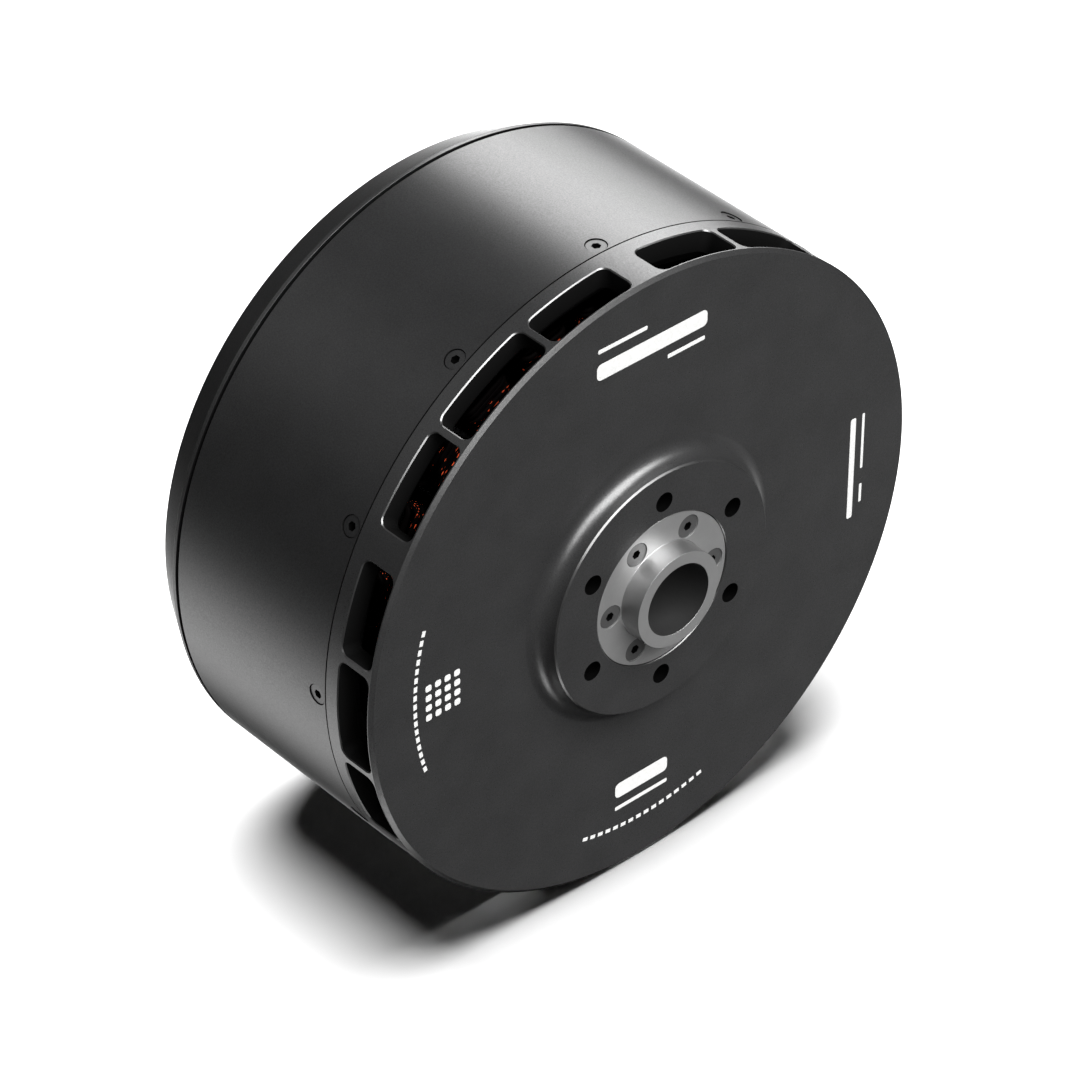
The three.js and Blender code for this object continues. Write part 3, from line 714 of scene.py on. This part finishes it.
def cover_cutters():
    cutters = Shape()
    offset = VENT_MIDDLE / 2 + VENT_RIB + VENT_SIDE / 2
    side = vent_cutter(VENT_SIDE)
    cutters.add_turned(vent_cutter(VENT_MIDDLE), even_angles(6))
    cutters.add_turned(side, even_angles(6, -offset))
    cutters.add_turned(side, even_angles(6, offset))
    cutters.add_turned(hole(PROP_HOLE, BOSS_FACE, -14), even_angles(6, 30), (0, PROP_CIRCLE, 0))
    cutters.add_turned(hole(HUB_HOLE, 3, -14), even_angles(6), (0, HUB_CIRCLE, 0))
    tapped = radial(hole(TAPPED_HOLE, -1, -20))
    return cutters.add_turned(tapped, even_angles(12), (DRUM_SCREW_STATION, SPIGOT + 2.5, 0))


def place_on_axis(face):
    """Radius and station of a face in millimetres, and how far its normal points outwards."""
    radius = math.hypot(face.center.y, face.center.z)
    outward = (face.center.y * face.normal.y + face.center.z * face.normal.z) / radius
    return radius / MM, station(face.center.x), outward


def in_opening(face):
    """Whether a face lies where painted shade goes: inside the cover, in the joint with the drum, in a
    hole or in a vent.
    """
    radius, level, outward = place_on_axis(face)
    inside = radius < COVER_INNER + 0.1 and level < -4
    joint = level < DRUM_FRONT + GAP + 0.05
    hole_wall = abs(radius - PROP_CIRCLE) < PROP_HOLE + 0.05 and abs(face.normal.x) < 0.3
    vent_wall = COVER_INNER < radius < DRUM_RADIUS - VENT_CHAMFER + 0.05 and abs(outward) < 0.3
    return inside or joint or hole_wall or vent_wall and level < VENT_FRONT + 0.05


def on_chamfer(face):
    """Whether a face lies on a broken edge of the boss, of the hub's recess or of a rim vent."""
    radius, level, outward = place_on_axis(face)
    if radius < BOSS_RADIUS and level > BOSS_FACE - BOSS_CHAMFER:
        return 0.3 < abs(face.normal.x) < 0.95
    on_vent = radius > DRUM_RADIUS - VENT_CHAMFER and level < VENT_FRONT + VENT_CHAMFER
    return on_vent and 0.3 < outward < 0.95


def front_cover():
    cover = make_object("front_cover_fine", cover_body())
    combine(cover, cover_cutters())
    finish_piece(cover, FACE_BLACK, "rotor", "black_anodised", "front_cover")
    # Painted shade on the cover's inside, its joint with the drum, the prop hole walls and the vent
    # walls.
    repaint(cover, PAINTED_SHADE, in_opening)
    repaint(cover, EDGE_BLACK, on_chamfer)


# ---- printed marks
# Plain bars, dots and arcs stand where the real motor carries its maker's print.


def face_prism(outline, thickness=0.06):
    """Thin printed patch from an outline in the plane of the face."""
    front = [(FACE + thickness, y, z) for y, z in outline]
    back = [(FACE - 0.02, y, z) for y, z in outline]
    return loops_shape([back, front])


def printed_bar(centre_y, centre_z, width, height):
    corner = min(width, height) * 0.3
    outline = rounded_rectangle(width, height, corner, 4, 2)
    return face_prism([(centre_y + u, centre_z + v) for u, v in outline])


def printed_arc(radius, first, last, width):
    """Band along a circle around the axis, between two angles."""
    angles = np.linspace(first, last, 5)
    outer = [polar(radius + width / 2, a) for a in angles]
    inner = [polar(radius - width / 2, a) for a in reversed(angles)]
    return face_prism(outer + inner)


def face_print():
    marks = Shape()
    bars = [
        (0.5, 98.5, 50, 6.5), (-13, 107, 22, 1.6), (16, 90.5, 17, 1.6),
        (-1.5, -89, 25, 6.5), (-1.5, -97, 25, 1.6),
        (98.5, -2, 2.6, 44), (103.5, 8, 1.2, 24), (103.5, -15, 1.2, 8),
    ]
    for row in range(4):
        for column in range(4):
            bars.append((-99.5 + column * 4.2, -7 + row * 4.2, 2.6, 2.6))
    for bar in bars:
        marks.join(printed_bar(*bar))
    for first, last, radius, count in ((254, 286, 106.5, 16), (163, 197, 105.5, 17)):
        step = (last - first) / count
        for i in range(count):
            marks.join(printed_arc(radius, first + i * step, first + (i + 0.62) * step, 1.5))
    finish_piece(make_object("face_print", marks), INK, "rotor", "black_anodised")


# ---- drum


def rotor_drum():
    corners = [
        [DRUM_INNER, DRUM_FRONT, 0.3],
        [DRUM_RADIUS, DRUM_FRONT, 0.05],
        [DRUM_RADIUS, DRUM_REAR, 0.12],
        [DRUM_INNER, DRUM_REAR, 0.5],
    ]
    drum = make_object("rotor_drum_fine", revolve(rounded(corners, 4)))
    sink = radial(screw_hole(DRUM_SCREW, 3.0, 0.28, 0.7))
    combine(drum, Shape().add_turned(sink, even_angles(12), (DRUM_SCREW_STATION, DRUM_RADIUS - 0.3, 0)))
    finish_piece(drum, DRUM_BLACK, "rotor", "black_anodised", "rotor_drum")
    # Painted shade on the drum's faces that do not face outwards: its ends in the joints, its inside and
    # its countersinks.
    repaint(drum, PAINTED_SHADE, lambda face: place_on_axis(face)[2] < 0.9)
    seats = [seat_matrix(DRUM_SCREW_STATION, DRUM_RADIUS - 0.4, d, 90) for d in even_angles(12)]
    place_screws("drum_screw", DRUM_SCREW, seats, DRUM_BLACK, "rotor", "black_screw")


def magnets():
    materials = frame["nodes"]["magnet_ring"].data.materials
    materials.clear()
    materials.append(NICKEL)


# ---- hub and shaft

FLANGE_FACE = 7.85
HUB_SCREW_FACE = 7.5
SHAFT_RADIUS = 17.5
BORE_RADIUS = 14.1
NOSE_RADIUS = 18.8
HUB_FILLET = 0.3
OUTER_RACE_BORE = 25.9
WASHER_BORE = 25.0
BALLS = 10
BALL_RADIUS = 2.75
BALL_CIRCLE = 22.5


def on_nose(face):
    radius, level, outward = place_on_axis(face)
    return outward > 0.05 and radius < NOSE_RADIUS + HUB_FILLET and level > FLANGE_FACE - 0.05


def hub_shaft():
    corners = [
        [BORE_RADIUS, SHAFT_FRONT, 0.12],
        [NOSE_RADIUS, SHAFT_FRONT, 0.08],
        [NOSE_RADIUS, FLANGE_FACE, HUB_FILLET],
        [FLANGE_RADIUS, FLANGE_FACE, 0.2],
        [FLANGE_RADIUS, 2.4, 0.3],
        [SHAFT_RADIUS, 2.4, 0],
        [SHAFT_RADIUS, SHAFT_REAR, 0.8],
        [BORE_RADIUS, SHAFT_REAR, 0.4],
    ]
    hub = make_object("hub_shaft_fine", revolve(rounded(corners, 10), INNER_SIDES))
    sink = screw_hole(HUB_SCREW, 3, 0.25, 0.25)
    combine(hub, Shape().add_turned(sink, even_angles(6), (HUB_SCREW_FACE, HUB_CIRCLE, 0)))
    finish_piece(hub, HUB_ALUMINIUM, "rotor", "satin_aluminium", "hub_shaft")
    # Painted shade inside the shaft bore.
    repaint(hub, BORE_SHADED, lambda face: place_on_axis(face)[0] < BORE_RADIUS + 0.02)
    # Painted shade on the nose and its fillet.
    repaint(hub, NOSE_SHADED, on_nose)
    seats = [seat_matrix(HUB_SCREW_FACE, HUB_CIRCLE, d, 0) for d in even_angles(6)]
    place_screws("hub_screw", HUB_SCREW, seats, HUB_SCREW_GREY, "rotor", "screw_steel")


def block(stations, depths, half_width):
    """Box at angle zero between two stations and two distances from the axis."""
    (front, rear), (near, far) = stations, depths
    corners = ((near, -half_width), (far, -half_width), (far, half_width), (near, half_width))
    return loops_shape([[(level, y, t) for y, t in corners] for level in (front, rear)])


def shaft_nut():
    low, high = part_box("shaft_nut")
    front, rear = station(high.x), station(low.x)
    nut = make_object("shaft_nut_fine", ring(BORE_CLEARANCE, 24, front, rear, 0.5))
    slot = block((front + 1, rear - 1), (22, 26), 2.2)
    combine(nut, Shape().add_turned(slot, even_angles(4)))
    finish_piece(nut, SCREW_STEEL, "rotor", "screw_steel", "shaft_nut")


def simple_rings():
    """Spacers, races and washers: the CAD rings again, round and with broken edges."""
    spacer = ("rotor", BORE_CLEARANCE, SATIN_ALUMINIUM, "satin_aluminium")
    inner_race = ("rotor", BORE_CLEARANCE, BEARING_STEEL, "bearing_steel")
    outer_race = ("stator", OUTER_RACE_BORE, BEARING_STEEL, "bearing_steel")
    table = {
        "front_spacer": spacer,
        "bearing_spacer": spacer,
        "front_inner_race": inner_race,
        "rear_inner_race": inner_race,
        "front_outer_race": outer_race,
        "rear_outer_race": outer_race,
        "preload_washer": ("stator", WASHER_BORE, SCREW_STEEL, "screw_steel"),
    }
    for node, (body, inner, material, slot) in table.items():
        low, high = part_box(node)
        front, rear, outer = station(high.x), station(low.x), high.y / MM
        edge = min(0.4, (front - rear) / 4)
        piece = make_object(node + "_fine", ring(inner, outer, front, rear, edge))
        finish_piece(piece, material, body, slot, node)


def ball_cages():
    """Machined cage with its balls, one solid per bearing."""
    steps = 16
    angles = [math.pi * k / steps for k in range(steps + 1)]
    ball = revolve([[BALL_RADIUS * math.sin(a), -BALL_RADIUS * math.cos(a)] for a in angles], 32)
    for end in ("front", "rear"):
        node = f"{end}_ball_cage"
        low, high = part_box(node)
        centre = (station(low.x) + station(high.x)) / 2
        cage = make_object(node + "_fine", ring(21.6, 23.4, centre + 1.8, centre - 1.8, 0.3, 120))
        balls = Shape().add_turned(ball, even_angles(BALLS), (centre, BALL_CIRCLE, 0))
        combine(cage, balls, "UNION")
        finish_piece(cage, CAGE_BRASS, f"{end}_cage", "cage_brass", node)


# ---- stator

SLOTS = 24
REAR_SCREW_CIRCLE = 42
STACK_BORE = 72
SLOT_FLOOR = 83.5
TOOTH_END = 107
TIP_ROOT = 108.5
COIL_INNER = 84.0
TOOTH_WIDTH = 13.0
COIL_FRONT_OVERHANG = 12.0
COIL_REAR_OVERHANG = 9.0
WIRE_RADIUS = 0.92
WIRE_ROWS = 12
WIRE_LAYERS = 2


def lamination_stack():
    """Toothed sheet outline run between the stack's two ends."""
    outline = []
    pitch = 360 / SLOTS
    tip_half = pitch / 2 - math.degrees(2 / STACK_RADIUS)

    def flank(radius):
        return math.degrees(math.asin(TOOTH_WIDTH / 2 / radius))

    root, floor_gap = flank(SLOT_FLOOR), pitch - 2 * flank(SLOT_FLOOR)
    tooth_outline = [(SLOT_FLOOR, -root), (TOOTH_END, -flank(TOOTH_END)), (TIP_ROOT, -tip_half)]
    tooth_outline += [(STACK_RADIUS, share * tip_half) for share in np.linspace(-1, 1, 9)]
    tooth_outline += [(TIP_ROOT, tip_half), (TOOTH_END, flank(TOOTH_END)), (SLOT_FLOOR, root)]
    tooth_outline += [(SLOT_FLOOR, root + k * floor_gap / 4) for k in (1, 2, 3)]
    for tooth in even_angles(SLOTS):
        outline += [polar(radius, tooth + angle) for radius, angle in tooth_outline]
    loops = [[(s, y, z) for y, z in outline] for s in (STACK_FRONT, STACK_REAR)]
    stack = make_object("lamination_stack_fine", loops_shape(loops))
    front, rear = STACK_FRONT + 2, STACK_REAR - 2
    combine(stack, revolve([[0, front], [STACK_BORE, front], [STACK_BORE, rear], [0, rear]]))
    finish_piece(stack, LAMINATIONS, "stator", "lamination_steel", "lamination_stack")


def wire_loop(front, rear, half_width, radius, rng):
    """One turn around a tooth, at one radius, with slightly uneven end turns."""
    width = 2 * half_width + rng.uniform(-0.12, 0.12)
    outline = rounded_rectangle(front - rear, width, 3.0, 4, 2)
    lift = rng.uniform(-0.12, 0.12)
    path = [((front + rear) / 2 + s, radius + lift, t) for s, t in outline]
    return sweep(path, WIRE_RADIUS, 8, closed=True)


def tooth_coil(rng):
    """Two layers of turns; the outer layer's end turns stand out furthest."""
    coil = Shape()
    front_room = COIL_FRONT_OVERHANG - 2 * WIRE_RADIUS
    rear_room = COIL_REAR_OVERHANG - 2 * WIRE_RADIUS
    for layer in range(WIRE_LAYERS):
        for row in range(WIRE_ROWS):
            radius = COIL_INNER + 1.2 + row * (COIL_OUTER - COIL_INNER - 2.2) / (WIRE_ROWS - 1)
            share = (layer + rng.uniform(0.35, 1.0)) / WIRE_LAYERS
            front = STACK_FRONT + WIRE_RADIUS + share * front_room
            rear = STACK_REAR - WIRE_RADIUS - share * rear_room
            half_width = TOOTH_WIDTH / 2 + 0.2 + WIRE_RADIUS * (1 + 1.85 * layer)
            coil.join(wire_loop(front, rear, half_width, radius, rng))
    return coil


def busbar(index, angles):
    """Flat ring behind the coils and its eight risers, one solid per phase."""
    rear = station(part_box(f"winding_{PHASES[index]}")[0].x)
    front = rear + 1.6
    bar = make_object(f"winding_{PHASES[index]}_bus", ring(84.5, 90, front, rear, 0.3))
    riser = block((STACK_REAR - COIL_REAR_OVERHANG + 3, rear), (92, 95), 1.5)
    foot = block((front, rear), (89, 93), 1.5)
    combine(bar, Shape().add_turned(riser, angles), "UNION")
    combine(bar, Shape().add_turned(foot, angles), "UNION")
    return bar


def windings():
    rng = random.Random(7)
    middle = (STACK_FRONT + STACK_REAR) / 2
    for index, phase in enumerate(PHASES):
        angles = even_angles(SLOTS // 3, index * 360 / SLOTS)
        wires = Shape()
        for degrees in angles:
            wires.add_turned(tooth_coil(rng), [degrees])
        winding = make_object(f"winding_{phase}_wires", wires)
        finish_piece(winding, COPPER, "stator", "copper_enamel", f"winding_{phase}")
        # Front halves of the coils get painted shade with painted glints; the rear halves keep the
        # enamelled copper colour.
        repaint(winding, SHADED_WIRE, lambda face: station(face.center.x) > middle)
        finish_piece(busbar(index, angles), COPPER, "stator", "copper_enamel")


def stator_carrier():
    """Bearing tube, web and rim that carry the stack, with a flange for the rear screws."""
    bore, tube, rim = 27.8, 33, 71.4
    corners = [
        [bore, -14, 0.5], [tube, -14, 0.5], [tube, -60, 2], [64, -60, 2],
        [64, STACK_FRONT - 1, 0.4], [rim, STACK_FRONT - 1, 0.4],
        [rim, STACK_REAR + 1, 0.4], [64, STACK_REAR + 1, 0.4],
        [64, -68, 2], [tube, -68, 2], [tube, -95, 2], [48, -95, 0.5],
        [48, -103.7, 0.3], [bore, -103.7, 0.4],
        [bore, -88.6, 0], [24.6, -88.6, 0.2], [24.6, -28.3, 0.2], [bore, -28.3, 0],
        [bore, -17.7, 0], [29.3, -17.7, 0], [29.3, -15.7, 0], [bore, -15.7, 0],
    ]
    carrier = make_object("stator_carrier_fine", revolve(rounded(corners, 4), INNER_SIDES))
    cutters = Shape().add_turned(hole(10, -59, -70, 0.6), even_angles(6), (0, 48.5, 0))
    cutters.add_turned(hole(3.3, -93, -106), even_angles(6), (0, REAR_SCREW_CIRCLE, 0))
    combine(carrier, cutters)
    finish_piece(carrier, CARRIER_ALUMINIUM, "stator", "satin_aluminium", "stator_carrier")


# ---- rear cover

PLATE_REAR = -112.0
REAR_FACE = -118.0
LEAD_CIRCLE = 85.0
LEAD_ANGLES = {"u": -75, "v": -60, "w": -45}
GROMMET_HOLE = 8.0
LEAD_PLATE = 300
POCKET_RIB = 3.0
MOUNT_CIRCLE = 50


def sector_prism(inner, outer, half_angle, levels, rib=0.0, corner=4):
    """Rounded sector at angle zero through (station, growth) levels. Rib is half a rib's width."""
    height = outer - inner
    span = 2 * math.radians(half_angle) * outer
    loops = []
    for level, grow in levels:
        outline = rounded_rectangle(span + 2 * grow, height + 2 * grow, corner + grow, 6, 10)
        loop = []
        for u, v in outline:
            radius = (inner + outer) / 2 + v
            margin = math.degrees(math.asin(rib / radius))
            loop.append((level, *polar(radius, u / (span / 2) * (half_angle - margin))))
        loops.append(loop)
    return loops_shape(loops)


def facing_rear(shape):
    return shape.mapped(lambda x, y, z: (-x, -y, z))


def rear_cover():
    corners = [
        [30, -104, 0.5],
        [106, -104, 0.3], [106, REAR_LIP, 0.5], [109, REAR_LIP, 0.5],
        [109, REAR_RIM, 0], [DRUM_RADIUS, REAR_RIM, 0.12], [DRUM_RADIUS, -104.2, 0.6],
        [117.6, REAR_FACE, 0.8],
        [58, REAR_FACE, 0], [58, PAD_FACE, 0.6], [30, PAD_FACE, 0.8],
    ]
    cover = make_object("rear_cover_fine", revolve(rounded(corners, 6)))
    angles = [degrees for degrees in even_angles(12, 15) if abs(degrees - LEAD_PLATE) > 20]
    pocket_levels = [(PLATE_REAR, 0), (REAR_FACE + 0.8, 0), (REAR_FACE, 0.6), (REAR_FACE - 4, 0.6)]
    pockets = Shape().add_turned(sector_prism(60, 104, 15, pocket_levels, POCKET_RIB), angles)
    pockets.add_turned(sector_prism(60, 104, 30, pocket_levels, POCKET_RIB), [LEAD_PLATE])
    combine(cover, pockets)
    window_levels = [(-102, 0), (PLATE_REAR + 0.7, 0), (PLATE_REAR, 0.6), (PLATE_REAR - 1, 0.6)]
    combine(cover, Shape().add_turned(sector_prism(66, 98, 10, window_levels), angles))
    sink = facing_rear(screw_hole(REAR_SCREW, 3, 0.25, 0.5))
    mount_hole = facing_rear(hole(3.4, 0, -20, 0.5))
    holes = Shape().add_turned(sink, even_angles(6), (PAD_FACE + 0.4, REAR_SCREW_CIRCLE, 0))
    holes.add_turned(mount_hole, even_angles(6, 30), (PAD_FACE, MOUNT_CIRCLE, 0))
    holes.add_turned(hole(GROMMET_HOLE, -103, -114), LEAD_ANGLES.values(), (0, LEAD_CIRCLE, 0))
    combine(cover, holes)
    finish_piece(cover, REAR_BLACK, "stator", "black_anodised", "rear_cover")
    # Painted shade on the forward-facing rim face in the gap behind the drum.
    repaint(cover, PAINTED_SHADE, lambda face: place_on_axis(face)[0] > 100 and face.normal.x > 0.9)
    seats = [seat_matrix(PAD_FACE + 0.5, REAR_SCREW_CIRCLE, d, 180) for d in even_angles(6)]
    place_screws("rear_screw", REAR_SCREW, seats, BLACK_OXIDE, "stator", "black_screw")


# ---- leads

LEAD_RADIUS = 5.0
LEAD_START = -102.6
LEAD_END_HEIGHT = -116.0
LUG_FRONT = -176.0
LUG_END = -205.0
BARREL_LENGTH = 14.0
EYE_RADIUS = 7.5
TONGUE_HALF = 6.4
SLEEVE_WALL = 0.55


def blend(first, second, start, end, t):
    return ((end - t) * first + (t - start) * second) / (end - start)


def centripetal(points, per_span=14):
    """Centripetal Catmull-Rom curve through points, as the CAD leads follow."""
    points = [np.array(p, float) for p in points]
    points = [2 * points[0] - points[1]] + points + [2 * points[-1] - points[-2]]
    path = []
    for i in range(1, len(points) - 2):
        p = points[i - 1:i + 3]
        knots = [0.0]
        for a, b in zip(p, p[1:]):
            knots.append(knots[-1] + math.sqrt(np.linalg.norm(b - a)))
        for t in np.linspace(knots[1], knots[2], per_span, endpoint=False):
            a = [blend(p[k], p[k + 1], knots[k], knots[k + 1], t) for k in range(3)]
            b = [blend(a[k], a[k + 1], knots[k], knots[k + 2], t) for k in range(2)]
            path.append(blend(*b, knots[1], knots[2], t))
    path.append(points[-2])
    return np.array(path)


def lead_path(phase):
    y, z = polar(LEAD_CIRCLE, LEAD_ANGLES[phase])
    middle = (-120 + LUG_FRONT) / 2 - 4
    return centripetal([
        (LEAD_START, y, z),
        (PLATE_REAR, y, z),
        (-120, y, z),
        (middle, y, (z + LEAD_END_HEIGHT) / 2),
        (LUG_FRONT + 6, y, LEAD_END_HEIGHT + 1),
        (LUG_FRONT - BARREL_LENGTH + 4, y, LEAD_END_HEIGHT),
    ])


def lug_shape(y):
    """Crimped barrel, closed at its far end, with a flat tongue and a bolt eye."""
    rear = LUG_FRONT - BARREL_LENGTH
    corners = [
        [0, rear, 0], [7.2, rear, 1.2], [7.2, rear + 3.5, 1.0], [6.7, rear + 5, 1.0],
        [6.7, rear + 9, 1.0], [7.3, rear + 10.5, 1.0], [7.4, LUG_FRONT, 0.4],
        [5.6, LUG_FRONT, 0.4], [5.6, rear + 2, 0], [0, rear + 2, 0],
    ]
    lug = make_object("lug", revolve(rounded(corners, 5), SMALL_SIDES))
    eye = LUG_END + EYE_RADIUS
    outline = [(rear + 4, -TONGUE_HALF)]
    for degrees in range(-90, -271, -9):
        x, t = polar(EYE_RADIUS, degrees)
        outline.append((eye + x, t))
    outline.append((rear + 4, TONGUE_HALF))
    loops = []
    for level, inset in ((-1.5, 0.25), (-1.2, 0), (1.2, 0), (1.5, 0.25)):
        shrink = 1 - inset / EYE_RADIUS
        loops.append([(eye + (x - eye) * shrink, t * shrink, level) for x, t in outline])
    combine(lug, loops_shape(loops), "UNION")
    combine(lug, hole(4.2, 3, -3).mapped(lambda x, a, b: (a + eye, b, x)))
    lug.data.transform(Matrix.Translation((0, y * MM, LEAD_END_HEIGHT * MM)))
    return lug


def phase_leads():
    corners = [
        [5.2, -104, 0.3], [7.7, -104, 0.3], [7.7, -112.3, 0], [10, -112.3, 0.6],
        [9.4, -114.6, 0.9], [6.6, -114.6, 0.5], [5.2, -112.6, 0.5],
    ]
    grommet_shape = revolve(rounded(corners, 4), SMALL_SIDES)
    for phase, degrees in LEAD_ANGLES.items():
        path = lead_path(phase)
        lead = make_object(f"phase_lead_{phase}_fine", sweep(path, LEAD_RADIUS, 40))
        finish_piece(lead, SILICONE, "stator", "silicone_cable", f"phase_lead_{phase}")
        near_lug = path[(path[:, 0] < LUG_FRONT + 13) & (path[:, 0] > LUG_FRONT + 0.3)]
        radii = [LEAD_RADIUS + SLEEVE_WALL - 0.25 * math.exp(-k) for k in range(len(near_lug))]
        sleeve = make_object(f"lead_sleeve_{phase}", sweep(near_lug, radii, 40))
        finish_piece(sleeve, SHRINK, "stator", "silicone_cable")
        lug = lug_shape(polar(LEAD_CIRCLE, degrees)[0])
        lug.name = f"lead_lug_{phase}_fine"
        finish_piece(lug, TIN, "stator", "tinned_copper", f"lead_lug_{phase}")
        placed = Shape().add_turned(grommet_shape, [degrees], (0, LEAD_CIRCLE, 0))
        grommet = make_object(f"lead_grommet_{phase}_fine", placed)
        finish_piece(grommet, RUBBER, "stator", "grommet_rubber", f"lead_grommet_{phase}")


def retaining_ring():
    """Open spring ring with two plier eyes, in the tube's front groove."""
    body = make_object("retaining_ring_fine", ring(25.3, 28.8, -16, -17.4, 0.15))
    combine(body, block((-14, -19), (20, 32), 4.5))
    finish_piece(body, SCREW_STEEL, "stator", "screw_steel", "retaining_ring")


# ---- stage


def direction(azimuth, elevation):
    """Unit vector at an azimuth from +X towards +Y and an elevation, in degrees."""
    flat, up = polar(1, elevation)
    x, y = polar(flat, azimuth)
    return Vector((x, y, up))


def camera():
    back = direction(CAMERA_AZIMUTH - 90, CAMERA_ELEVATION)
    right = direction(CAMERA_AZIMUTH, 0)
    up = back.cross(right)
    data = bpy.data.cameras.new("camera")
    data.lens = CAMERA_LENS
    data.sensor_width = 36
    data.clip_end = 50
    cam = bpy.data.objects.new("camera", data)
    place = Vector((RIM_X, 0, 0)) + back * CAMERA_DISTANCE + right * CAMERA_RIGHT + up * CAMERA_UP
    cam.matrix_world = Matrix.Translation(place) @ Matrix((right, up, back)).transposed().to_4x4()
    bpy.context.scene.collection.objects.link(cam)
    bpy.context.scene.camera = cam


# Far soft lights, as (name, azimuth, elevation, radius in degrees, radiance).
OBJECT_LIGHTS = (
    ("key_low", -24, 33, 15.0, 14.0),
    ("key", 3, 56, 20.0, 21.5),
    ("key_side", 44, 49, 11.2, 18.0),
    ("rim", 131, 28, 13.6, 9.6),
    ("rim_low", 123, 8, 8.7, 4.6),
    ("fill", -159, 24, 18.9, 0.88),
)
COIL_LIGHTS = (
    ("glint", -4, 62, 3, 350.0),
    ("rear_glow", 150, 25, 12, 8.0),
)
FLOOR_LIGHT = ("overhead", 172, 86, 23, 16.0)

# Light that the pale floor throws back up, as (azimuth, elevation, radius in degrees, radiance).
FLOOR_GLOW = (
    (-151, -42, 30.8, 2.6),
    (-32, -65, 12.0, 8.8),
    (83, -37, 19.2, 1.36),
    (144, -30, 22.8, 5.8),
    (55, -35, 18.8, 0.35),
)
GLOW_CORE = 0.1
DOME = 0.0025
FLOOR_COLOR = 0.9
FLOOR_SIZE = 6.0


def sun(name, azimuth, elevation, radius, radiance, receivers):
    """A round light at infinity that falls only on the objects of one collection."""
    data = bpy.data.lights.new(name, "SUN")
    data.angle = math.radians(2 * radius)
    data.energy = radiance * math.pi * math.sin(math.radians(radius)) ** 2
    light = bpy.data.objects.new(name, data)
    light.rotation_euler = direction(azimuth, elevation).to_track_quat("Z", "Y").to_euler()
    light.light_linking.receiver_collection = receivers
    bpy.context.scene.collection.objects.link(light)


def lights(floor_plane):
    """Each group of objects has lights of its own: the shells, the coils and the floor."""
    motor, coils, stage = [bpy.data.collections.new(name) for name in ("motor", "coils", "stage")]
    stage.objects.link(floor_plane)
    for obj in bpy.context.scene.objects:
        if obj.type == "MESH" and obj is not floor_plane:
            group = coils if obj.name.startswith("winding") else motor
            group.objects.link(obj)
    for receivers, group in ((motor, OBJECT_LIGHTS), (coils, COIL_LIGHTS), (stage, [FLOOR_LIGHT])):
        for light in group:
            sun(*light, receivers)


def floor():
    """Plain white floor under the drum. Its glow on the motor comes from the world instead."""
    low = -DRUM_RADIUS * MM
    mesh = bpy.data.meshes.new("floor")
    signs = ((-1, -1), (1, -1), (1, 1), (-1, 1))
    corners = [(FLOOR_SIZE * x, FLOOR_SIZE * y, low) for x, y in signs]
    mesh.from_pydata(corners, [], [(0, 1, 2, 3)])
    plane = bpy.data.objects.new("floor", mesh)
    bpy.context.scene.collection.objects.link(plane)
    plane.visible_glossy = False
    plane.visible_diffuse = False
    material = bpy.data.materials.new("floor_white")
    material.use_nodes = True
    tree = material.node_tree
    tree.nodes.clear()
    diffuse = add_node(tree, "BsdfDiffuse", Color=(*grey(FLOOR_COLOR), 1))
    add_node(tree, "OutputMaterial", Surface=diffuse.outputs["BSDF"])
    mesh.materials.append(material)
    return plane


def world():
    """White for the camera; for the motor, a dark room above and the floor's glow below."""
    scene_world = bpy.data.worlds.new("studio")
    scene_world.use_nodes = True
    bpy.context.scene.world = scene_world
    tree = scene_world.node_tree
    tree.nodes.clear()
    toward = add_node(tree, "TexCoord").outputs["Generated"]
    height = add_node(tree, "SeparateXYZ", Vector=toward).outputs["Z"]
    glow = 0.0
    for azimuth, elevation, radius, radiance in FLOOR_GLOW:
        dot = add_node(tree, "VectorMath", Vector=toward)
        dot.operation = "DOT_PRODUCT"
        dot.inputs[1].default_value = direction(azimuth, elevation)
        angle = math_node(tree, "ARCCOSINE", dot.outputs["Value"])
        edge = math.radians(radius)
        lobe = map_range(tree, angle, edge, edge * GLOW_CORE, 0.0, radiance, "SMOOTHERSTEP")
        glow = math_node(tree, "ADD", glow, lobe)
    below = math_node(tree, "LESS_THAN", height, 0.0)
    around = math_node(tree, "ADD", math_node(tree, "MULTIPLY", glow, below), DOME)
    seen = add_node(tree, "LightPath").outputs["Is Camera Ray"]
    strength = math_node(tree, "MAXIMUM", around, seen)
    background = add_node(tree, "Background", Color=(1, 1, 1, 1), Strength=strength)
    add_node(tree, "OutputWorld", Surface=background.outputs["Background"])


# ---- assembly

front_cover()
face_print()
rotor_drum()
magnets()
hub_shaft()
shaft_nut()
simple_rings()
ball_cages()
lamination_stack()
windings()
stator_carrier()
rear_cover()
phase_leads()
retaining_ring()
world()
lights(floor())
camera()
bpy.context.scene.view_settings.view_transform = "Standard"

bpy.context.view_layer.update()
